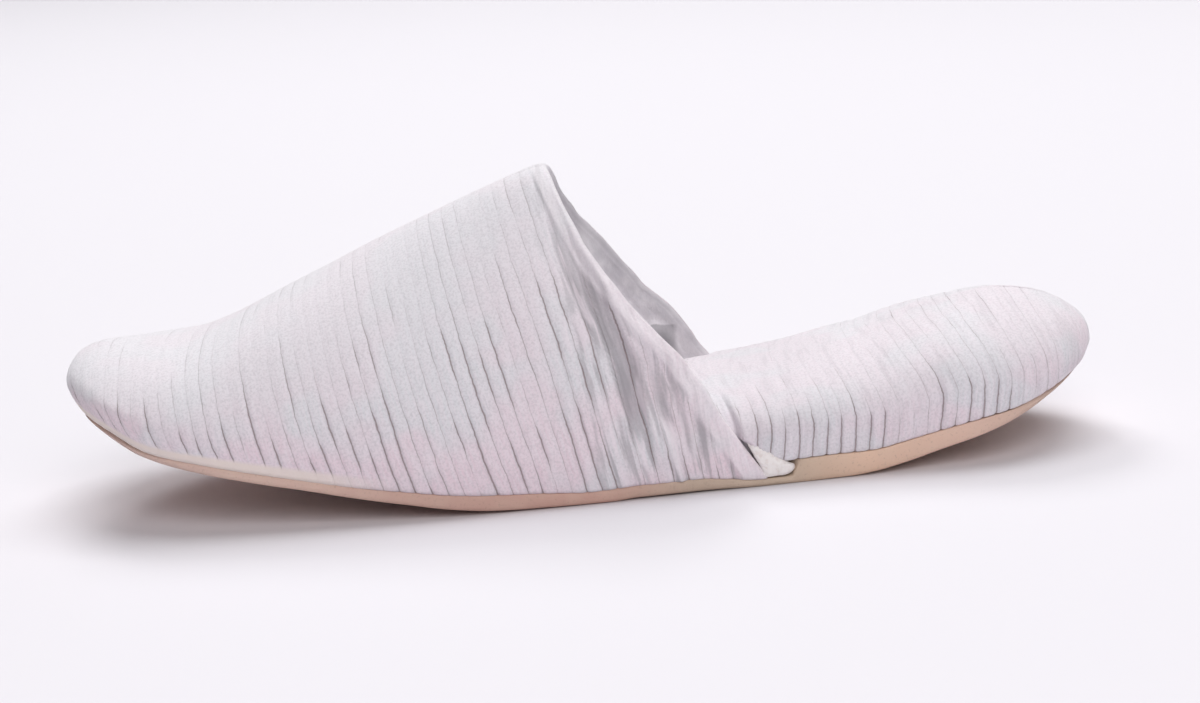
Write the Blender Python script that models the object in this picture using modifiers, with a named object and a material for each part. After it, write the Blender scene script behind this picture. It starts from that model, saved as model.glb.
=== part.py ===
"""A closed-toe mule slipper in ribbed fabric, empty and standing on its sole.

Everything is in metres once built: the toe points to -X, the heel to +X, +Z is
up and the floor is Z = 0. The two sides mirror across Y = 0, and the origin is
on the floor under the middle of the slipper's box. The sizes below are in
millimetres, and `along` is always counted from the toe tip.
"""
import math
from collections import namedtuple

import bmesh
import bpy

MM = 0.001
COLLECTION = "ribbed_mule_slipper"

LENGTH = 266.5          # of the outline, toe to heel
TOE_FACE = 1.33         # the rounded toe stands this far behind the outline's tip
HEEL_FACE = 265.9       # and the heel's face ends here
TOE_ROUND = 58.0        # the outline rounds to the toe tip over this length
HEEL_ROUND = 38.0       # and to the heel end over this length
TOE_FULLNESS = 2.25     # 2 is an ellipse, more is squarer
HEEL_FULLNESS = 2.1
WALL = 2.4              # upper: face fabric, foam and lining together
CLEARANCE = 0.3         # between neighbouring pieces
BED_CLEARANCE = 0.5     # under the footbed, whose sections cross the sole's
TUCK_HEIGHT = 8.0       # the fabric is drawn in to the sole below this height

RIDGE_TOE = 15.5        # the vamp's middle line starts here
RIDGE_TOP = 129.5       # and ends here, at the top of the collar
RIDGE_PACE = 1.4        # how the middle line's sections gather at the toe
TAIL = 178.5            # the collar meets the sole here
REBATE_END = 185.5      # the sole's rebate for the upper and hem ends here
REBATE_STEP = 0.5       # over this length
BED_FLUSH = 190.5       # from here on the footbed fills the sole's outline

HEM_WIDTH = 4.4         # turned hem along the collar, measured at the sole
HEM_RISE = 0.7          # its step above the fabric
HEM_SLOPE = 0.8         # length of the step itself
HEM_LIP = 0.5           # share of that step left at the collar's edge
HEM_SEAT = 0.5          # the hem's lower edge stands this much higher on the sole

MIDDLE = 0.5 * (TOE_FACE + HEEL_FACE)

SOLE_EDGE_ROUND = 2.2   # rounding of the tread into the side
SOLE_EDGE_RISE = 1.2
SOLE_EDGE_SHARE = 0.45  # of a thin side, at most
SOLE_EDGE_POINT = 0.3   # share of the rounding where its one ridge stands
SOLE_TOP_ROUND = 0.5
REBATE_SLOPE = 0.3      # how far the rebate's inner wall leans
SPINE_INSET = 26.0      # where the plates' middle line starts and ends
SPINE_EVENING = 0.15    # share of even spacing in that line's sections
DOME_FULLNESS = 2.5     # crown of the footbed's top
BED_EDGE = 0.8          # rounding of the footbed's lower edge
BED_ABOVE_FOOT = 3.0    # the footbed's base above the foot of the upper

COLUMNS = 64            # sections from toe tip to heel end
SECTION_MARGIN = 0.4 / COLUMNS
VAMP_ROWS = 13          # rows from the sole to the vamp's middle line
DOME_ROWS = 5
FAN_SHARE = 0.35        # share of the upper's sections that fan out round the toe
OUTLINE_STEP = 0.002    # steps that the normals are measured over
FACE_STEP = 0.004
MERGE_DISTANCE = 0.05
CURVE_MERGE = 0.01
SHARP_ANGLE = 40.0
HEM_END_ROUND = 0.5

Girth = namedtuple("Girth", "along half_width tuck")
GIRTH = (
    Girth(0.0, 43.5, 4.0),
    Girth(22.0, 44.0, 2.6),
    Girth(48.0, 44.6, 1.4),
    Girth(72.0, 46.0, 1.0),
    Girth(98.0, 46.4, 1.0),
    Girth(122.0, 45.0, 1.0),
    Girth(148.0, 42.7, 1.0),
    Girth(172.0, 40.2, 1.0),
    Girth(198.0, 37.8, 1.0),
    Girth(228.0, 36.4, 1.1),
    Girth(266.5, 36.0, 2.4),
)

Tread = namedtuple("Tread", "along underside ledge thickness")
TREAD = (
    Tread(0.0, 27.7, 1.4, 3.8),
    Tread(13.5, 23.4, 1.9, 4.1),
    Tread(25.5, 18.4, 2.4, 4.4),
    Tread(40.5, 14.4, 3.2, 4.8),
    Tread(65.5, 9.1, 3.4, 5.1),
    Tread(90.5, 4.3, 3.6, 5.4),
    Tread(102.5, 1.3, 4.6, 6.0),
    Tread(110.5, 0.0, 5.0, 6.3),
    Tread(126.5, 0.0, 4.0, 5.6),
    Tread(140.5, 0.0, 2.6, 5.0),
    Tread(147.5, 0.5, 1.8, 4.5),
    Tread(162.5, 0.5, 1.7, 4.8),
    Tread(178.5, 0.0, 1.9, 5.5),
    Tread(206.5, 0.0, 1.9, 6.3),
    Tread(213.5, 1.9, 1.9, 5.8),
    Tread(222.5, 5.1, 1.9, 4.6),
    Tread(233.5, 7.9, 1.9, 3.9),
    Tread(243.5, 11.2, 1.2, 2.4),
    Tread(254.5, 15.4, 0.8, 1.6),
    Tread(266.5, 19.8, 0.6, 1.3),
)

Vamp = namedtuple("Vamp", "along crown fullness")
VAMP = (
    Vamp(15.5, 42.9, 2.25),
    Vamp(26.5, 43.2, 2.2),
    Vamp(35.5, 44.0, 2.15),
    Vamp(43.5, 46.2, 2.1),
    Vamp(52.5, 49.6, 2.05),
    Vamp(69.5, 56.5, 1.95),
    Vamp(87.5, 63.9, 1.8),
    Vamp(104.5, 70.8, 1.68),
    Vamp(121.5, 76.9, 1.58),
    Vamp(126.5, 78.1, 1.56),
    Vamp(129.5, 78.4, 1.56),
)

Collar = namedtuple("Collar", "rise along")
COLLAR = (
    Collar(0.0, 178.5),
    Collar(0.16, 170.5),
    Collar(0.33, 163.1),
    Collar(0.52, 152.7),
    Collar(0.71, 142.2),
    Collar(0.86, 135.9),
    Collar(1.0, 129.5),
)

Bed = namedtuple("Bed", "along side depth")
BED = (
    Bed(0.0, 2.5, 4.0),
    Bed(32.0, 4.0, 6.5),
    Bed(62.0, 5.5, 8.5),
    Bed(102.0, 7.0, 10.5),
    Bed(142.0, 8.5, 13.7),
    Bed(171.0, 9.0, 16.6),
    Bed(188.0, 9.6, 18.3),
    Bed(205.5, 10.4, 22.0),
    Bed(222.5, 10.2, 23.3),
    Bed(239.5, 8.2, 22.0),
    Bed(251.5, 5.6, 18.4),
    Bed(266.5, 4.0, 12.0),
)

HEM_END_DEPTH = 2.4     # how thick the hem's felt end is, across the slipper
HEM_END_INSET = 1.9     # its middle stands this far inside the outline

HemEnd = namedtuple("HemEnd", "along height")
HEM_END = (
    HemEnd(179.5, 2.3),
    HemEnd(184.0, 2.4),
    HemEnd(185.0, 3.7),
    HemEnd(184.2, 5.4),
    HemEnd(180.0, 7.4),
    HemEnd(175.2, 10.6),
)

Finish = namedtuple("Finish", "color roughness metallic")
RIBBED_FABRIC = Finish((0.68, 0.64, 0.69), 0.95, 0.0)
FOOTBED_FABRIC = Finish((0.72, 0.69, 0.73), 0.95, 0.0)
TAN_SOLE = Finish((0.42, 0.27, 0.21), 0.7, 0.0)
CREAM_FELT = Finish((0.80, 0.74, 0.70), 0.95, 0.0)


def smooth_reading(table, name, key="along"):
    """Return a function that reads one column of a table smoothly against its key.

    The curve is a cubic with slopes limited so that it never overshoots a row,
    which keeps level stretches truly level.
    """
    keys = [getattr(row, key) for row in table]
    values = [getattr(row, name) for row in table]
    runs = [after - before for before, after in zip(keys, keys[1:])]
    grades = [(after - before) / run for before, after, run in zip(values, values[1:], runs)]
    slopes = [grades[0]]
    for index in range(1, len(runs)):
        before, after = grades[index - 1], grades[index]
        if before * after <= 0.0:
            slopes.append(0.0)
        else:
            wide, narrow = 2 * runs[index] + runs[index - 1], runs[index] + 2 * runs[index - 1]
            slopes.append((wide + narrow) / (wide / before + narrow / after))
    slopes.append(grades[-1])

    def read(at):
        at = min(max(at, keys[0]), keys[-1])
        index = max(i for i in range(len(runs)) if keys[i] <= at or i == 0)
        run = runs[index]
        share = (at - keys[index]) / run
        square, cube = share * share, share ** 3
        return (
            values[index] * (2 * cube - 3 * square + 1)
            + slopes[index] * run * (cube - 2 * square + share)
            + values[index + 1] * (3 * square - 2 * cube)
            + slopes[index + 1] * run * (cube - square)
        )

    return read


full_half_width = smooth_reading(GIRTH, "half_width")
tuck = smooth_reading(GIRTH, "tuck")
underside = smooth_reading(TREAD, "underside")
ledge = smooth_reading(TREAD, "ledge")
sole_thickness = smooth_reading(TREAD, "thickness")
crown = smooth_reading(VAMP, "crown")
fullness = smooth_reading(VAMP, "fullness")
collar_along = smooth_reading(COLLAR, "along", key="rise")
bed_side = smooth_reading(BED, "side")
bed_depth = smooth_reading(BED, "depth")


def mix(start, end, share):
    """Blend two numbers, or two points of equal length."""
    if isinstance(start, tuple):
        return tuple(a + (b - a) * share for a, b in zip(start, end))
    return start + (end - start) * share


def ease(share):
    """Go from 0 to 1 with level ends."""
    share = min(max(share, 0.0), 1.0)
    return share * share * (3.0 - 2.0 * share)


def rounding(distance, length, power):
    """Width share of an end that rounds off over a length, from its tip."""
    if distance >= length:
        return 1.0
    return (1.0 - (1.0 - max(distance, 0.0) / length) ** power) ** (1.0 / power)


def half_width(along):
    """Half width of the slipper's outline, seen from above."""
    toe = rounding(along, TOE_ROUND, TOE_FULLNESS)
    heel = rounding(LENGTH - along, HEEL_ROUND, HEEL_FULLNESS)
    return full_half_width(along) * toe * heel


def outline_along(turn):
    """Place of a section on the outline: `turn` goes from 0 at the toe to 1."""
    return 0.5 * LENGTH * (1.0 - math.cos(math.pi * turn))


def outline_turn(along):
    """Inverse of outline_along."""
    return math.acos(1.0 - 2.0 * along / LENGTH) / math.pi


def outline(turn):
    """Point of the outline on the right-hand side."""
    along = outline_along(turn)
    return along, half_width(along)


def outward(turn):
    """Unit normal of the outline, pointing away from the slipper."""
    if turn <= 0.0:
        return -1.0, 0.0
    if turn >= 1.0:
        return 1.0, 0.0
    before = outline(max(turn - OUTLINE_STEP, 0.0))
    after = outline(min(turn + OUTLINE_STEP, 1.0))
    run, rise = after[0] - before[0], after[1] - before[1]
    length = math.hypot(run, rise)
    return -rise / length, run / length


def inset(turn, distance):
    """Outline point moved inwards along its normal, never past the middle line."""
    (along, across), (run, rise) = outline(turn), outward(turn)
    return along - run * distance, max(across - rise * distance, 0.0)


def spine(turn):
    """Place on the middle line that a plate's section runs to."""
    following = 0.5 * LENGTH - (0.5 * LENGTH - SPINE_INSET) * math.cos(math.pi * turn)
    even = SPINE_INSET + (LENGTH - 2.0 * SPINE_INSET) * turn
    return mix(following, even, SPINE_EVENING)


def drawn_in(along, height):
    """How far the fabric is drawn in towards the sole at a height above it."""
    return tuck(along) * max(1.0 - height / TUCK_HEIGHT, 0.0) ** 2


def upper_foot(along):
    """Height of the upper's lower edge, on the sole's ledge."""
    return underside(along) + ledge(along) + CLEARANCE


TAIL_TURN = outline_turn(TAIL)


def upper_section(share):
    """Place of the vamp's middle line for a section, 0 at the toe and 1 at the collar."""
    return RIDGE_TOE + (RIDGE_TOP - RIDGE_TOE) * share ** RIDGE_PACE


def upper_face(share, lift):
    """Outer face of the upper, without its hem.

    `share` runs from the toe tip to the collar, and `lift` from the sole to the
    middle line, both 0 to 1. Each section is a superellipse: at the toe it fans
    out around the tip, and at the collar it follows the collar's own slant.
    """
    turn = share * TAIL_TURN
    base_along, base_across = outline(turn)
    ridge = upper_section(share)
    power = 2.0 / fullness(ridge)
    angle = lift * math.pi / 2.0
    rise, reach = math.sin(angle) ** power, max(math.cos(angle), 0.0) ** power
    slant = (collar_along(rise) - RIDGE_TOP) / (TAIL - RIDGE_TOP)
    settled = ease(share / FAN_SHARE)
    along = ridge + (base_along - ridge) * mix(reach, slant, settled)
    across = mix(base_across, half_width(along), settled) * reach
    foot = upper_foot(base_along)
    height = (crown(ridge) - foot) * rise
    run, side = outward(turn)
    pull = drawn_in(base_along, height)
    along -= run * pull
    across = max(across - side * pull, 0.0)
    if lift >= 1.0 or share <= 0.0:
        across = 0.0
    return along, across, foot + height


def upper_outward(share, lift):
    """Unit normal of the upper's outer face."""
    step = FACE_STEP
    share, lift = min(max(share, step), 1.0 - step), min(max(lift, step), 1.0 - 3.0 * step)
    back, front = upper_face(share - step, lift), upper_face(share + step, lift)
    low, high = upper_face(share, lift - step), upper_face(share, lift + step)
    a = [q - p for p, q in zip(low, high)]
    b = [q - p for p, q in zip(back, front)]
    cross = (a[1] * b[2] - a[2] * b[1], a[2] * b[0] - a[0] * b[2], a[0] * b[1] - a[1] * b[0])
    length = math.sqrt(sum(part * part for part in cross))
    return tuple(part / length for part in cross)


def placed(point):
    """Turn a point counted from the toe in millimetres into the slipper's frame."""
    along, across, height = point
    return (along - MIDDLE) * MM, across * MM, height * MM


def new_object(name, mesh, finish, parts):
    """Put a mesh in the part's collection with its own material."""
    piece = bpy.data.objects.new(name, mesh)
    parts.objects.link(piece)
    material = bpy.data.materials.new(name + "_finish")
    material.use_nodes = True
    shader = material.node_tree.nodes["Principled BSDF"]
    shader.inputs["Base Color"].default_value = (*finish.color, 1.0)
    shader.inputs["Roughness"].default_value = finish.roughness
    shader.inputs["Metallic"].default_value = finish.metallic
    mesh.materials.append(material)
    mesh.shade_smooth()
    mesh.set_sharp_from_angle(angle=math.radians(SHARP_ANGLE))
    return piece


def half_loft(name, columns):
    """Join columns of points as a sheet that is open at the plane Y = 0."""
    form = bmesh.new()
    grid = [[form.verts.new(placed(point)) for point in column] for column in columns]
    for here, there in zip(grid, grid[1:]):
        for low in range(len(here) - 1):
            form.faces.new((here[low], here[low + 1], there[low + 1], there[low]))
    mesh = bpy.data.meshes.new(name)
    form.to_mesh(mesh)
    form.free()
    return mesh


def mirrored(piece):
    """Complete a half that is open at the plane Y = 0."""
    mirror = piece.modifiers.new("both_sides", "MIRROR")
    mirror.use_axis = (False, True, False)
    mirror.use_clip = True
    mirror.merge_threshold = MERGE_DISTANCE * MM


def section_turns(extra):
    """Turns of the regular sections, with a few exact places put among them."""
    turns = [index / COLUMNS for index in range(COLUMNS + 1)]
    exact = [outline_turn(along) for along in extra]
    kept = [turn for turn in turns if all(abs(turn - near) > SECTION_MARGIN for near in exact)]
    return sorted(kept + exact)


def make_outsole(parts):
    """Tan sole: tread, rounded side, and the rebate that the upper stands in."""
    columns = []
    for turn in section_turns((REBATE_END, REBATE_END + REBATE_STEP)):
        here = outline_along(turn)
        drawn = tuck(here)
        thickness = sole_thickness(here)
        if here < REBATE_END + 0.5 * REBATE_STEP:
            side_top, shoulder, shoulder_top = ledge(here), WALL + CLEARANCE, ledge(here)
        else:
            side_top, shoulder, shoulder_top = thickness - SOLE_TOP_ROUND, SOLE_TOP_ROUND, thickness

        def at(distance, above):
            along, across = inset(turn, drawn + distance)
            return along, across, underside(along) + above

        def middle(share, above):
            edge = inset(turn, drawn + SOLE_EDGE_ROUND + WALL)
            along, across = mix(edge, (spine(turn), 0.0), share)
            return along, across, underside(along) + above(along)

        rise = min(SOLE_EDGE_RISE, SOLE_EDGE_SHARE * side_top)
        columns.append([
            middle(1.0, lambda along: 0.0),
            middle(0.5, lambda along: 0.0),
            middle(0.0, lambda along: 0.0),
            at(SOLE_EDGE_ROUND, 0.0),
            at(SOLE_EDGE_POINT * SOLE_EDGE_ROUND, SOLE_EDGE_POINT * rise),
            at(0.0, rise),
            at(0.0, side_top),
            at(shoulder, shoulder_top),
            at(shoulder + REBATE_SLOPE, thickness),
            middle(0.5, sole_thickness),
            middle(1.0, sole_thickness),
        ])
    mirrored(new_object("outsole", half_loft("outsole", columns), TAN_SOLE, parts))


def make_upper(parts):
    """Ribbed upper: the outer face as an open sheet, given its wall by Solidify."""
    hem_turn = outline_turn(TAIL - HEM_WIDTH)
    slope_turn = outline_turn(TAIL - HEM_WIDTH + HEM_SLOPE)
    lip_turn = outline_turn(TAIL - HEM_SLOPE)
    plain = [index / COLUMNS for index in range(COLUMNS)]
    turns = [turn for turn in plain if turn < hem_turn - SECTION_MARGIN]
    raised = {slope_turn: HEM_RISE, lip_turn: HEM_RISE, TAIL_TURN: HEM_LIP * HEM_RISE}
    turns += [hem_turn, *raised]
    columns, walls = [], []
    for turn in turns:
        share = turn / TAIL_TURN
        lifted = raised.get(turn, 0.0)
        column = []
        for row in range(VAMP_ROWS + 1):
            lift = row / VAMP_ROWS
            point = upper_face(share, lift)
            if lifted:
                normal = upper_outward(share, lift)
                along, across, height = (p + n * lifted for p, n in zip(point, normal))
                if row == 0:
                    height = point[2] + HEM_SEAT
                point = (along, 0.0 if row == VAMP_ROWS else across, height)
            column.append(point)
        columns.append(column)
        walls += [(WALL + lifted) / (WALL + HEM_RISE)] * len(column)
    piece = new_object("upper", half_loft("upper", columns), RIBBED_FABRIC, parts)
    group = piece.vertex_groups.new(name="wall")
    for index, weight in enumerate(walls):
        group.add([index], weight, "REPLACE")
    mirrored(piece)
    shell = piece.modifiers.new("wall", "SOLIDIFY")
    shell.thickness = (WALL + HEM_RISE) * MM
    shell.offset = -1.0
    shell.vertex_group = group.name


def bed_clearance(turn, height):
    """How far the footbed stands in from the outline inside the upper."""
    share = min(turn / TAIL_TURN, 1.0)
    along, across = outline(turn)
    ridge = upper_section(share)
    rise = min(height / (crown(ridge) - upper_foot(min(along, TAIL))), 1.0)
    power = fullness(ridge)
    reach = (1.0 - rise ** power) ** (1.0 / power)
    return math.hypot(along - ridge, across) * (1.0 - reach) + WALL + 2.0 * CLEARANCE


def make_footbed(parts):
    """Padded footbed: inside the upper in front, flush with the sole behind it."""
    columns = []
    for turn in section_turns((REBATE_END, BED_FLUSH)):
        here = outline_along(turn)
        covered = 1.0 - ease((here - REBATE_END) / (BED_FLUSH - REBATE_END))
        side = bed_side(here)

        def floor(along):
            return underside(along) + sole_thickness(along) + BED_CLEARANCE

        def at(height, rounded=0.0):
            distance = drawn_in(here, height) + covered * bed_clearance(turn, height + BED_ABOVE_FOOT)
            along, across = inset(turn, distance + rounded)
            return along, across, floor(along) + height

        def middle(share):
            along, across = mix(at(0.0, BED_EDGE)[:2], (spine(turn), 0.0), share)
            return along, across, floor(along)

        shoulder = at(side)
        dome = []
        for row in range(1, DOME_ROWS + 1):
            angle = 0.5 * math.pi * row / DOME_ROWS
            rise = math.sin(angle) ** (2.0 / DOME_FULLNESS)
            reach = max(math.cos(angle), 0.0) ** (2.0 / DOME_FULLNESS)
            along, across = mix((spine(turn), 0.0), shoulder[:2], reach)
            height = floor(along) + mix(bed_side(along), bed_depth(along), rise)
            dome.append((along, across if row < DOME_ROWS else 0.0, height))
        columns.append([
            middle(1.0),
            middle(0.5),
            at(0.0, BED_EDGE),
            at(BED_EDGE),
            at(0.5 * side),
            shoulder,
            *dome,
        ])
    mirrored(new_object("footbed", half_loft("footbed", columns), FOOTBED_FABRIC, parts))


def make_hem_end(name, side, parts):
    """Felt end of the collar's hem, between the footbed and the sole's rebate."""
    curve = bpy.data.curves.new(name, "CURVE")
    curve.dimensions = "2D"
    curve.fill_mode = "BOTH"
    curve.extrude = 0.5 * HEM_END_DEPTH * MM
    middle = 0.5 * (TAIL + REBATE_END)
    spline = curve.splines.new("POLY")
    spline.points.add(len(HEM_END) - 1)
    for point, corner in zip(spline.points, HEM_END):
        point.co = ((corner.along - middle) * MM, corner.height * MM, 0.0, 1.0)
    spline.use_cyclic_u = True
    flat = bpy.data.objects.new(name, curve)
    bpy.context.scene.collection.objects.link(flat)
    depsgraph = bpy.context.evaluated_depsgraph_get()
    mesh = bpy.data.meshes.new_from_object(flat.evaluated_get(depsgraph))
    bpy.data.objects.remove(flat, do_unlink=True)
    form = bmesh.new()
    form.from_mesh(mesh)
    bmesh.ops.remove_doubles(form, verts=form.verts, dist=CURVE_MERGE * MM)
    form.to_mesh(mesh)
    form.free()
    piece = new_object(name, mesh, CREAM_FELT, parts)
    slope = math.atan2(half_width(REBATE_END) - half_width(TAIL), REBATE_END - TAIL)
    piece.rotation_euler = (math.radians(90.0), 0.0, side * slope)
    across = side * (half_width(middle) - HEM_END_INSET)
    piece.location = placed((middle, across, 0.0))
    rounded = piece.modifiers.new("soft_edges", "BEVEL")
    rounded.width = HEM_END_ROUND * MM
    rounded.segments = 2


def clear_scene():
    """Remove what the scene holds before building."""
    for thing in list(bpy.data.objects):
        bpy.data.objects.remove(thing, do_unlink=True)


def build():
    """Build every piece of the slipper."""
    clear_scene()
    parts = bpy.data.collections.new(COLLECTION)
    bpy.context.scene.collection.children.link(parts)
    make_outsole(parts)
    make_upper(parts)
    make_footbed(parts)
    make_hem_end("hem_end_left", -1, parts)
    make_hem_end("hem_end_right", 1, parts)


build()
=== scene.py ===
"""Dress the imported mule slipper: corded fabric, padded footbed, tan sole and a plain studio.

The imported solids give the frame. The slipper's toe points to -X, its heel to +X, +Z is
up and the floor is Z = 0. Sizes are in millimetres and `along` is counted from the toe
tip, as on the maker's last. Meshes are turned into the frame's metres as they are made.
"""

import logging
import math
from contextlib import contextmanager
from dataclasses import dataclass, field
from enum import Enum
from typing import Iterator, Optional, Sequence, Union

import bmesh
import bpy
import numpy as np
from mathutils import Matrix, Vector


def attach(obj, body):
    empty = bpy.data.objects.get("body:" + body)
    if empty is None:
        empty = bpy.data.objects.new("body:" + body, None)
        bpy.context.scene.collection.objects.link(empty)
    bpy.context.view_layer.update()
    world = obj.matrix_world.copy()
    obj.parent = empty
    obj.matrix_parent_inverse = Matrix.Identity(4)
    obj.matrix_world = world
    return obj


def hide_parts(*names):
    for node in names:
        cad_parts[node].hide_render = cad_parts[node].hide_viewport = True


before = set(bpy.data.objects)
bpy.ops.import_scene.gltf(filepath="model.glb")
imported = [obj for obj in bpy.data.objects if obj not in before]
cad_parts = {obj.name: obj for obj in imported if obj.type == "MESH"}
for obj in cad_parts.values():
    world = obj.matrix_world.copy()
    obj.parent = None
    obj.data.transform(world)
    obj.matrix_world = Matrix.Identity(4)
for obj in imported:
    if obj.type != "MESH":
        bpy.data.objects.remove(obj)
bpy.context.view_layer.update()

LOG = logging.getLogger("slipper")
MM = 0.001
BODY = "root"

Array = np.ndarray
Colour = tuple[float, float, float]
Point = tuple[float, float, float]
Span = tuple[float, float]


# --- numbers ---


def eased(share: Array) -> Array:
    """Go from 0 to 1 with level ends, holding both beyond them."""
    share = np.clip(share, 0.0, 1.0)
    return share * share * (3.0 - 2.0 * share)


def between(low: float, high: float, at: Array) -> Array:
    """Ease from 0 at `low` to 1 at `high`; `high` may lie below `low`."""
    return eased((np.asarray(at, float) - low) / (high - low))


def blend(start: Array, end: Array, share: Array) -> Array:
    """Mix two values or arrays."""
    return start + (end - start) * share


def read_off(rows: Sequence[Span], at: Array) -> Array:
    """Read a two-column table in straight lines."""
    return np.interp(at, *zip(*rows))


@dataclass(frozen=True)
class Reading:
    """A column of a table, read smoothly against its key without overshoot."""

    keys: tuple[float, ...]
    values: tuple[float, ...]

    def slopes(self) -> Array:
        """Slope at each key, limited so that level stretches stay level.

        Returns:
            One slope for each key.
        """
        runs = np.diff(self.keys)
        grades = np.diff(self.values) / runs
        before, after = grades[:-1], grades[1:]
        wide, narrow = 2 * runs[1:] + runs[:-1], runs[1:] + 2 * runs[:-1]
        with np.errstate(divide="ignore", invalid="ignore"):
            inner = (wide + narrow) / (wide / before + narrow / after)
        inner = np.where(before * after <= 0.0, 0.0, inner)
        return np.concatenate([grades[:1], inner, grades[-1:]])

    def __call__(self, at: Array) -> Array:
        """Read the column.

        Args:
            at: places against the key; those beyond its ends read as the ends.

        Returns:
            The column's values there.
        """
        keys, values, slopes = np.array(self.keys), np.array(self.values), self.slopes()
        at = np.clip(at, keys[0], keys[-1])
        index = np.clip(np.searchsorted(keys, at, side="right") - 1, 0, len(keys) - 2)
        run = keys[index + 1] - keys[index]
        share = (at - keys[index]) / run
        square, cube = share**2, share**3
        return (
            values[index] * (2 * cube - 3 * square + 1)
            + slopes[index] * run * (cube - 2 * square + share)
            + values[index + 1] * (3 * square - 2 * cube)
            + slopes[index + 1] * run * (cube - square)
        )


def readings(rows: Sequence[tuple[float, ...]]) -> list[Reading]:
    """Turn table rows, whose first number is the key, into one reading a column."""
    keys, *columns = zip(*rows)
    return [Reading(keys, column) for column in columns]


def cell_chance(seed: int, *cells: Array) -> Array:
    """Repeatable numbers from 0 to 1 for whole-numbered cells, by stirring their bits.

    Args:
        seed: which set of numbers.
        cells: the cells along one or more measures.

    Returns:
        A number for each cell.
    """
    mixed = np.full(np.broadcast(*cells).shape, seed + 1, np.uint64)
    for cell in cells:
        mixed = mixed ^ np.asarray(cell, np.int64).astype(np.uint64)
        for factor, shift in ((0x9E3779B97F4A7C15, 29), (0xBF58476D1CE4E5B9, 32)):
            mixed = mixed * np.uint64(factor)
            mixed = mixed ^ (mixed >> np.uint64(shift))
    return (mixed >> np.uint64(11)).astype(float) / float(2**53)


def wander(seed: int, place: Array, line: Array) -> Array:
    """Smooth random course from -1 to 1 along `place`, another for each `line`.

    Args:
        seed: which set of courses.
        place: place along the course, one cell to each unit.
        line: whole number of the course.

    Returns:
        The course there.
    """
    cell = np.floor(place)
    start, end = cell_chance(seed, cell, line), cell_chance(seed, cell + 1, line)
    return 2.0 * blend(start, end, eased(place - cell)) - 1.0


def rumple(seed: int, first: Array, second: Array) -> Array:
    """Smooth random field from -1 to 1 over two measures, one cell to each unit.

    Args:
        seed: which field.
        first: one measure.
        second: the other.

    Returns:
        The field there.
    """
    a, b = np.floor(first), np.floor(second)
    s, t = eased(first - a), eased(second - b)
    near = blend(cell_chance(seed, a, b), cell_chance(seed, a + 1, b), s)
    far = blend(cell_chance(seed, a, b + 1), cell_chance(seed, a + 1, b + 1), s)
    return 2.0 * blend(near, far, t) - 1.0


@dataclass(frozen=True)
class Ripple:
    """Seeded unevenness: its height, and the size of its cells along two measures."""

    seed: int
    height: float
    first: float
    second: float = 1.0

    def over(self, first: Array, second: Array) -> Array:
        """Height at two measures."""
        return self.height * rumple(self.seed, first / self.first, second / self.second)


# --- the maker's last ---


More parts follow.
